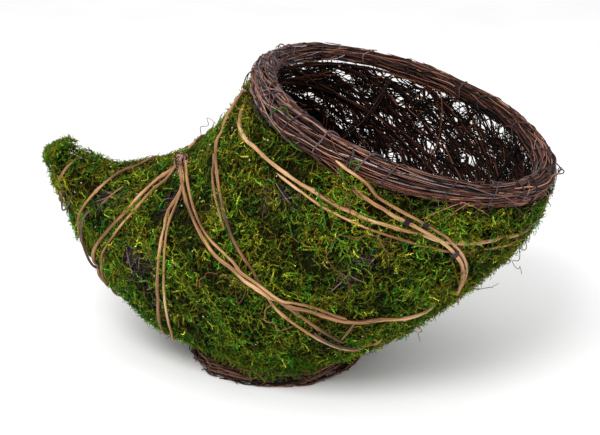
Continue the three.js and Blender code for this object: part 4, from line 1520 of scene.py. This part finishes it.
def add_knot_ends(batch, rng, middle):
    """Loose ends of the fibres."""
    n, t = KNOT_ENDS, steps(FIBRE_POINTS)
    way = unit(rng.normal(size=(n, 3)) * 0.8 + np.array([0.0, -0.2, 0.7]))
    way[::2] = unit(rng.normal(size=(n // 2, 3)) * 0.35 + np.array([0.1, -0.8, -0.6]))
    length = column(rng, 4, 9, n)[..., None] * MM
    length[::2] *= 1.4
    bend = unit(rng.normal(size=(n, 3)))[:, None] * 0.3
    base = middle + rng.normal(size=(n, 3)) * KNOT_HALF * 0.4
    reach = t[None, :, None]
    paths = base[:, None] + length * (way[:, None] * reach + bend * reach**2)
    radii = column(rng, 0.4, 0.9, n) * MM * np.interp(t, [0, 0.6, 1], [1, 0.9, 0.4])
    ups = np.broadcast_to(bend + 0.01, paths.shape)
    batch.add_tubes(paths, radii, ups, 4, np.clip(rng.normal(0.5, 0.25, n), 0, 1))


def knot():
    """A tangle of dry fibre where the vines meet on top of the waist, with loose ends."""
    rng = np.random.default_rng(81)
    middle = on_horn(*(np.array(value) for value in KNOT_PLACE))
    batch = Batch()
    add_knot_fibres(batch, rng, middle)
    add_knot_ends(batch, rng, middle)
    batch.build("fibre_tangle", FIBRE, "knot_fibre", ["fibre_knot"])


# ---- Stage -------------------------------------------------------------------------------------------
CAMERA_AZIMUTH = math.radians(15.5)
CAMERA_HEIGHT = math.radians(21.5)
CAMERA_DISTANCE = 1.583
CAMERA_AIM = Vector(FOOT_AXIS) + Vector((0.024, 0, 0.148))
CAMERA_REACH = 50
LENS = 95
LIGHTS = {  # azimuth and height in degrees, distance, size and power
    "key": (-8, 50, 2.2, 1.0, 31),
    "fill": (50, 35, 2.4, 1.6, 6),
    "top": (10, 88, 2.0, 1.6, 4),
}
SKY_STRENGTH = 0.82
FLOOR_SIZE = 14


def direction(azimuth, height):
    """The way from the aim to a camera at that azimuth and height; azimuth 0 is in front."""
    flat = math.cos(height)
    return Vector((math.sin(azimuth) * flat, -math.cos(azimuth) * flat, math.sin(height)))


def camera():
    back = direction(CAMERA_AZIMUTH, CAMERA_HEIGHT)
    right = Vector((math.cos(CAMERA_AZIMUTH), math.sin(CAMERA_AZIMUTH), 0))
    up = back.cross(right)
    made = bpy.data.objects.new("camera", bpy.data.cameras.new("camera"))
    made.data.lens = LENS
    made.data.clip_end = CAMERA_REACH
    turn = Matrix((right, up, back)).transposed().to_4x4()
    made.matrix_world = Matrix.Translation(CAMERA_AIM + back * CAMERA_DISTANCE) @ turn
    bpy.context.scene.collection.objects.link(made)
    bpy.context.scene.camera = made


def area_light(name, azimuth, height, distance, size, power):
    way = direction(math.radians(azimuth), math.radians(height))
    made = bpy.data.objects.new(name, bpy.data.lights.new(name, "AREA"))
    made.data.size = size
    made.data.energy = power
    made.location = CAMERA_AIM + way * distance
    made.rotation_euler = way.to_track_quat("Z", "Y").to_euler()
    bpy.context.scene.collection.objects.link(made)


def studio_sky():
    world = bpy.data.worlds.new("studio")
    world.use_nodes = True
    sky = world.node_tree.nodes["Background"]
    sky.inputs["Color"].default_value = (1, 1, 1, 1)
    sky.inputs["Strength"].default_value = SKY_STRENGTH
    bpy.context.scene.world = world


def stage():
    """A white sky, three soft lights and a pale floor."""
    bpy.context.scene.view_settings.view_transform = "Standard"
    studio_sky()
    for name, light in LIGHTS.items():
        area_light(name, *light)
    bpy.ops.mesh.primitive_grid_add(x_subdivisions=8, y_subdivisions=8, size=FLOOR_SIZE)
    floor = bpy.context.object
    floor.name = "floor"
    floor.data.materials.append(floor_material())


camera()
stage()
wall_twigs()
frame_sticks()
moss()
rim_bundle()
rim_lashings()
foot_bundles()
vines()
ties()
tendrils()
knot()
